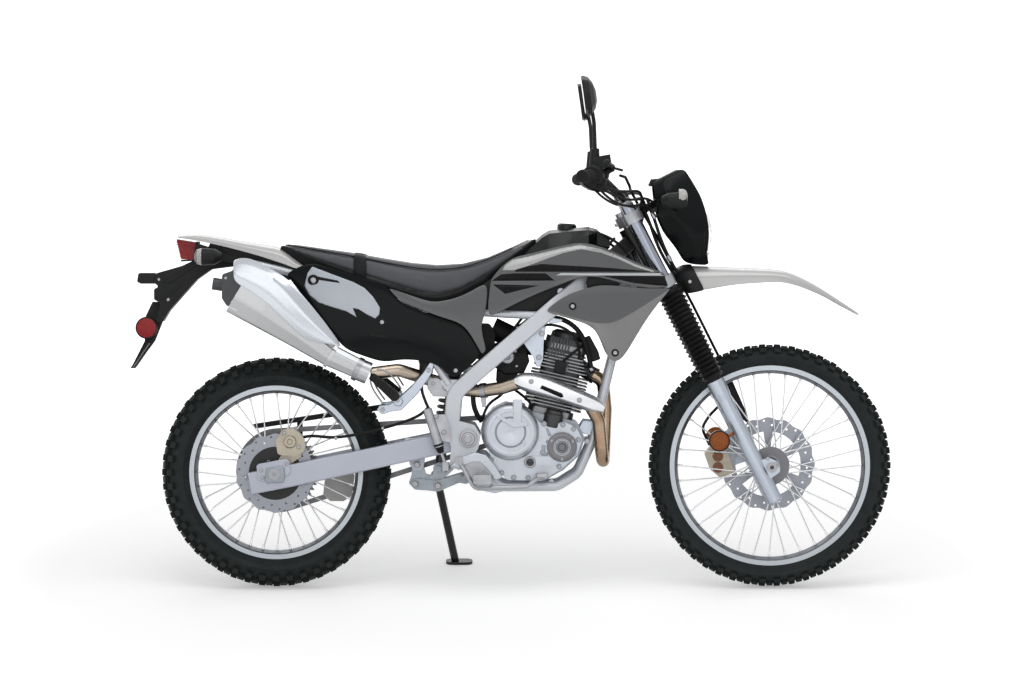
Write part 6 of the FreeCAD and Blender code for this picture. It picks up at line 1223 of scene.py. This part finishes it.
ADJUSTER = [(-50, 346), (-44, 352), (32, 366), (42, 360), (46, 330), (40, 320), (-34, 302), (-46, 308)]
plates("chain_adjusters", ARM_PAINT, pair(ADJUSTER, 123, 3), bevel=2.0)
plates("axle_blocks", CASE, pair([(-22, 340), (22, 348), (28, 340), (30, 318), (24, 300), (-20, 298),
    (-28, 308)], 127, 3), bevel=2.0)
fittings("adjuster_bolts", STEEL, both_sides([(-36, 126, 334, 5), (-34, 126, 314, 5), (34, 126, 352, 5)]))
fittings("adjuster_screws", STEEL, both_sides([(-78, 108, 312, 6)]), axis=-FORWARD)
fittings("rear_caliper_bolts", STEEL, [(26, -98.5, 436, 6), (66, -98.5, 398, 6), (36, -92, 380, 5)],
    kind="socket")
turnings("rear_caliper_piston", CALIPER, [(42, -98, 412, cap(18, 5))])
turnings("rear_caliper_nipple", STEEL, [(58, -92, 440, [(0, 5), (6, 5), (7, 3.4), (14, 3.4), (15, 0)])],
    axis=UP)
runs(RUBBER, 4.2, {
    "rear_brake_hose": [(78, -90, 424), (104, -104, 432), (150, -112, 420), (230, -108, 432),
        (310, -100, 452), (372, -96, 470), (412, -104, 490), (424, -122, 506)],
    "reservoir_hose": [(446, -132, 478), (430, -142, 500), (412, -128, 540), (404, -104, 570),
        (420, -88, 600)]})
turnings("hose_guides", STEEL, placed([(170, -111, 423), (300, -101, 449.5)], [(-3, 5.4), (3, 5.4),
    (3, 4.2)]), axis=FORWARD, steps=20)
fittings("master_bolts", STEEL, [(449, -141, 484, 6.5), (470, -141, 440, 6.5)], kind="socket")
turnings("master_boot", RUBBER, [(455, -137, 408, [(0, 14), (5, 14), (8, 11), (11, 13), (14, 10), (17, 12),
    (20, 9), (23, 10), (27, 5)])], axis=(FORWARD * 0.3 - UP * 0.95).normalized())
turnings("brake_reservoir", TRIM, [(420, -92, 600, [(0, 0), (0, 17), (2, 19), (30, 19), (32, 21), (40, 21),
    (42, 18), (42, 0)])], axis=UP)
fittings("linkage_bolts", STEEL, both_sides([(388, 40, 292, 9), (452, 40, 286, 9), (394, 40, 345, 8)]))

# Steering: grips, yoke bolts, cables, meter, signals and fork pieces


def grip_turnings(name, material, reaches, profile, steps):
    """Turned pieces at distances inward along both grips from their outer ends."""
    bm = bmesh.new()
    for way in (1, -1):
        inward = (STEER_FORWARD * 0.2286 - STEER_UP * 0.1 - LEFT * way).normalized()
        for reach in reaches:
            spin(bm, profile, steer(-58, way * 408, 345) + inward * reach * MM, inward, steps)
    piece(name, bm, material, "steering")


grip_turnings("grip_ribs", RUBBER, [8 + 5.6 * k for k in range(17)], [(0, 16.6), (0.8, 18.0), (2.4, 18.0),
    (3.2, 16.6)], 28)
grip_turnings("bar_ends", TRIM, [-1.2], [(-4, 0), (-4, 9), (-2, 13), (3, 15)], 32)
fittings("yoke_nuts", STEEL, [(0, 0, 196, 15)] + [(22, y, 219.6, 14) for y in (97, -97)], axis=STEER_UP,
    **ON_FORK)
fittings("bar_clamp_bolts", STEEL, [(21 + a, y, 256.5, 4.6) for a in (-13, 13) for y in (44, -44)],
    axis=STEER_UP, kind="socket", **ON_FORK)
fittings("yoke_pinch_bolts", STEEL, [(-26, y, s, 5) for y in (72, -72) for s in (181, -16, -28)],
    axis=-STEER_FORWARD, kind="socket", **ON_FORK)
turnings("key_switch", DARK_STEEL, [(52, 0, 186, [(0, 0), (0, 18), (18, 18), (22, 15), (22, 6), (19, 5),
    (19, 0)])], axis=STEER_UP, **ON_FORK)
runs(RUBBER, 3.6, {
    "throttle_cable_upper": [(892, -296, 1122), (930, -276, 1108), (976, -210, 1104), (1012, -120, 1112),
        (1024, -60, 1090), (1012, -36, 1040), (1004, -24, 980)],
    "throttle_cable_return": [(894, -288, 1120), (928, -256, 1098), (980, -190, 1078), (1020, -110, 1090),
        (1034, -56, 1070), (1020, -30, 1020), (1010, -20, 975)],
    "clutch_cable": [(900, 300, 1122), (938, 276, 1104), (984, 206, 1100), (1020, 118, 1108),
        (1034, 56, 1080), (1020, 34, 1030), (1008, 22, 980)],
    "switch_wire_right": [(892, -284, 1120), (914, -240, 1092), (966, -150, 1060), (1016, -90, 1072),
        (1052, -70, 1070), (1072, -50, 1052)],
    "switch_wire_left": [(892, 284, 1120), (914, 240, 1092), (966, 150, 1060), (1016, 90, 1072),
        (1052, 70, 1070), (1072, 50, 1052)],
    "loom_to_lamp": [(1000, -50, 1086), (1030, -66, 1092), (1056, -62, 1080), (1084, -52, 1040),
        (1096, -40, 1000)]}, body="steering")
runs(RUBBER, 4.6, {
    "hose_ahead_of_fork": [(1036, -62, 1084), (1052, -84, 1040), (1066, -88, 990), (1086, -80, 940),
        (1110, -66, 896), (1128, -52, 868)],
    "hose_beside_fork": [(1020, -54, 1070), (1040, -70, 1030), (1054, -76, 980), (1076, -70, 930),
        (1102, -56, 890), (1118, -44, 862)]}, body="steering")
turnings("hose_ferrules", STEEL, placed([(1096, -75.5, 921), (1052, -84, 1040)], [(-9, 0), (-9, 5.5),
    (-3, 6.6), (3, 6.6), (9, 5.4), (9, 0)]), axis=(UP * 0.87 - FORWARD * 0.49).normalized(), steps=20,
    body="steering")
plates("reservoir_lid", TRIM, [([(918, 1172), (962, 1160), (964, 1166), (920, 1178)], -270, -216)], bevel=1.5,
    body="steering")
plates("meter_bezel", TRIM, [([(1042, 1122), (1104, 1126), (1106, 1138), (1096, 1146), (1052, 1142),
    (1042, 1134)], -58, 58)], bevel=3.0, body="steering")
plates("meter_screen", SMOKE, [([(1041, 1124), (1050, 1142), (1047, 1143.5), (1038, 1125)], -48, 48)],
    bevel=0.6, body="steering")
turnings("front_signal_lenses", SIGNAL_LENS, both_sides([(161, 150, 172, [(-3, 23.8), (8, 23.8), (16, 21),
    (20.5, 14), (21.5, 0)])]), axis=FORWARD, **ON_FORK)
turnings("mask_grommets", STEEL, both_sides([(104, 91, 150, [(-4, 12), (3, 12), (4.5, 10), (4.5, 7), (2.5, 6),
    (2.5, 0)])]), **ON_FORK)
fittings("fender_bolts", STEEL, both_sides([(84, 88, -50, 5.5)]), kind="socket", **ON_FORK)
plates("fork_guard", TRIM, [([(40, -326), (66, -330), (72, -352), (66, -470), (56, -486), (48, -470),
    (42, -400)], 90, 100)], bevel=2.5, **ON_FORK)
turnings("reflector_bezels", TRIM, [(-42, -118, -481, [(0, 29.5), (8, 29.5), (10, 28), (10, 26), (7, 25.6)])],
    **ON_FORK)
fittings("axle_pinch_bolts", STEEL, [(56, -110, -586, 5), (70, -112, -612, 8)], kind="socket", **ON_FORK)
fittings("front_caliper_bolts", STEEL, [(-62, 84.5, -520, 6), (-84, 84.5, -566, 6)], kind="socket", **ON_FORK)
turnings("front_caliper_inner_pistons", PISTON, [(a, 38.2, s, [(0, 15), (2.5, 15), (3.5, 13), (3.5, 8),
    (1.5, 7), (1.5, 0)]) for a, s in ((-62, -528), (-76, -556))], axis=-LEFT, **ON_FORK)
turnings("front_caliper_pistons", CALIPER, [(-70, 84, -544, cap(17, 5))], **ON_FORK)

# Wheels: spoke nipples, disc bolts and the rings inside the discs

SPOKES = 36


def wheel_bits(name, body, centre, rim, disc_y, disc_radius):
    """Nipples in the rim where each spoke ends, and the bolts that hold the disc."""
    bm = bmesh.new()
    for number, turn in enumerate(circle(SPOKES)):
        side = 1 if number % 2 == 0 else -1
        out = FORWARD * math.sin(turn) + UP * math.cos(turn)
        foot = centre + (out * (rim - 24.0) + LEFT * (side * 5.0)) * MM
        spin(bm, [(-13, 0), (-13, 2.6), (-11, 3.1), (-3, 3.1), (-1, 4.6), (1.0, 4.6)], foot, out, 10)
    piece(name + "_nipples", bm, CHROME, body)
    bm = bmesh.new()
    for turn in circle(6, 0.5):
        out = FORWARD * math.sin(turn) + UP * math.cos(turn)
        bolt(bm, centre + (out * disc_radius + LEFT * disc_y) * MM, facing_out(disc_y), 5.5, "socket")
    piece(name + "_disc_bolts", bm, STEEL, body, 35.0)


wheel_bits("front", "front_wheel", FRONT_AXLE, 280.0, 64.2, 30.0)
wheel_bits("rear", "rear_wheel", REAR_AXLE, 243.0, -74.2, 38.0)


def flat_ring(name, body, centre, y, inner, outer, material):
    """A flat ring inside a disc, 3 mm thick."""
    bm = bmesh.new()
    steps = 72
    rings = [[bm.verts.new(centre + ((FORWARD * math.cos(t) + UP * math.sin(t)) * radius
                                     + LEFT * (y + depth)) * MM) for t in circle(steps)]
             for radius in (inner, outer) for depth in (-1.5, 1.5)]
    for one, two in ((0, 1), (1, 3), (3, 2), (2, 0)):
        for k in range(steps):
            n = (k + 1) % steps
            bm.faces.new((rings[one][k], rings[two][k], rings[two][n], rings[one][n]))
    bmesh.ops.recalc_face_normals(bm, faces=bm.faces)
    piece(name, bm, material, body)


flat_ring("front_tone_ring", "front_wheel", FRONT_AXLE, -44, 30, 53, DARK_STEEL)
flat_ring("rear_disc_carrier", "rear_wheel", REAR_AXLE, -76.4, 30, 74, BLACK_PAINT)


MIRRORS_ABOVE = 1300


def mirror_glass():
    """The flat faces of the mirror housings that look back at the rider."""
    mesh = frame["nodes"]["bar_controls"].data
    mesh.materials.append(MIRROR)
    for polygon in mesh.polygons:
        if to_bike(polygon.center).z > MIRRORS_ABOVE and polygon.normal.dot(FORWARD) < -0.97:
            polygon.material_index = len(mesh.materials) - 1


mirror_glass()

# Studio

FLOOR_SIZE = 60.0
FLOOR_COLOR = (0.94, 0.94, 0.94)
FLOOR_GLOW = 0.34
FADE_START, FADE_END = 1.3, 3.2
WORLD_LIGHT = 0.42
CAMERA_AWAY = 12.0
CAMERA_RISE = 1.5
VIEW_CENTRE = (659.0, 0.0, 688.0)
FRAME_WIDTH = 2.867
SENSOR = 36.0


def looked_at(tree):
    """1 on camera, glossy and transmission rays, which see the white sweep, and 0 on the light's own rays."""
    path = new_node(tree, "ShaderNodeLightPath")
    value = path.outputs["Is Camera Ray"]
    for other in ("Is Glossy Ray", "Is Transmission Ray"):
        inputs = {0: value, 1: path.outputs[other]}
        value = new_node(tree, "ShaderNodeMath", inputs, operation="MAXIMUM").outputs[0]
    return value


def world_light():
    """White to the eye, to metal and to glass, and a softer white on everything else."""
    world = bpy.data.worlds.new("studio")
    bpy.context.scene.world = world
    world.use_nodes = True
    tree = world.node_tree
    background = tree.nodes["Background"]
    inputs = {"Value": looked_at(tree), "To Min": WORLD_LIGHT, "To Max": 1.0}
    strength = new_node(tree, "ShaderNodeMapRange", inputs)
    tree.links.new(strength.outputs[0], background.inputs["Strength"])
    background.inputs["Color"].default_value = (1, 1, 1, 1)


def studio_floor():
    """A white sweep: it keeps the shadow under the tyres, and away from them it is plain white to the eye."""
    finish = Finish("floor_white", FLOOR_COLOR, 0.9, Specular_IOR_Level=0.0)
    tree = finish.tree
    fade = finish.ramp(finish.vector("LENGTH", finish.place), FADE_START, FADE_END, FLOOR_GLOW, 1.0)
    glow = finish.node("ShaderNodeEmission", {"Strength": finish.maths("MULTIPLY", looked_at(tree), fade)})
    both = finish.node("ShaderNodeAddShader", {0: finish.shader.outputs[0], 1: glow.outputs[0]})
    tree.links.new(both.outputs[0], tree.nodes["Material Output"].inputs["Surface"])
    bm = bmesh.new()
    bmesh.ops.create_grid(bm, x_segments=2, y_segments=2, size=FLOOR_SIZE / 2)
    mesh = bpy.data.meshes.new("floor")
    bm.to_mesh(mesh)
    bm.free()
    mesh.materials.append(finish.material)
    floor = bpy.data.objects.new("floor", mesh)
    bpy.context.collection.objects.link(floor)


def softbox(name, place, target, width, height, power):
    light = bpy.data.lights.new(name, "AREA")
    light.shape = "RECTANGLE"
    light.size, light.size_y = width, height
    light.energy = power
    lamp = bpy.data.objects.new(name, light)
    lamp.location = place
    lamp.rotation_euler = (Vector(target) - Vector(place)).to_track_quat("-Z", "Y").to_euler()
    bpy.context.collection.objects.link(lamp)


def camera():
    rise = math.radians(CAMERA_RISE)
    back = -LEFT * math.cos(rise) + UP * math.sin(rise)
    made = bpy.data.cameras.new("camera")
    made.sensor_width = SENSOR
    made.lens = SENSOR * CAMERA_AWAY / FRAME_WIDTH
    made.clip_end = 200.0
    eye = bpy.data.objects.new("camera", made)
    eye.location = bike(*VIEW_CENTRE) + back * CAMERA_AWAY
    eye.rotation_euler = Matrix((FORWARD, back.cross(FORWARD), back)).transposed().to_euler()
    bpy.context.collection.objects.link(eye)
    bpy.context.scene.camera = eye


bpy.context.scene.view_settings.view_transform = "Standard"
world_light()
studio_floor()
softbox("key_over", (0.3, -0.6, 3.4), (0.1, 0.0, 0.5), 4.0, 1.6, 36.0)
softbox("fill_side", (0.0, -4.5, 2.2), (0.0, 0.0, 0.6), 4.5, 2.0, 28.0)
softbox("rim_back", (-0.5, 3.5, 2.6), (0.0, 0.0, 0.7), 4.0, 1.5, 26.0)
camera()
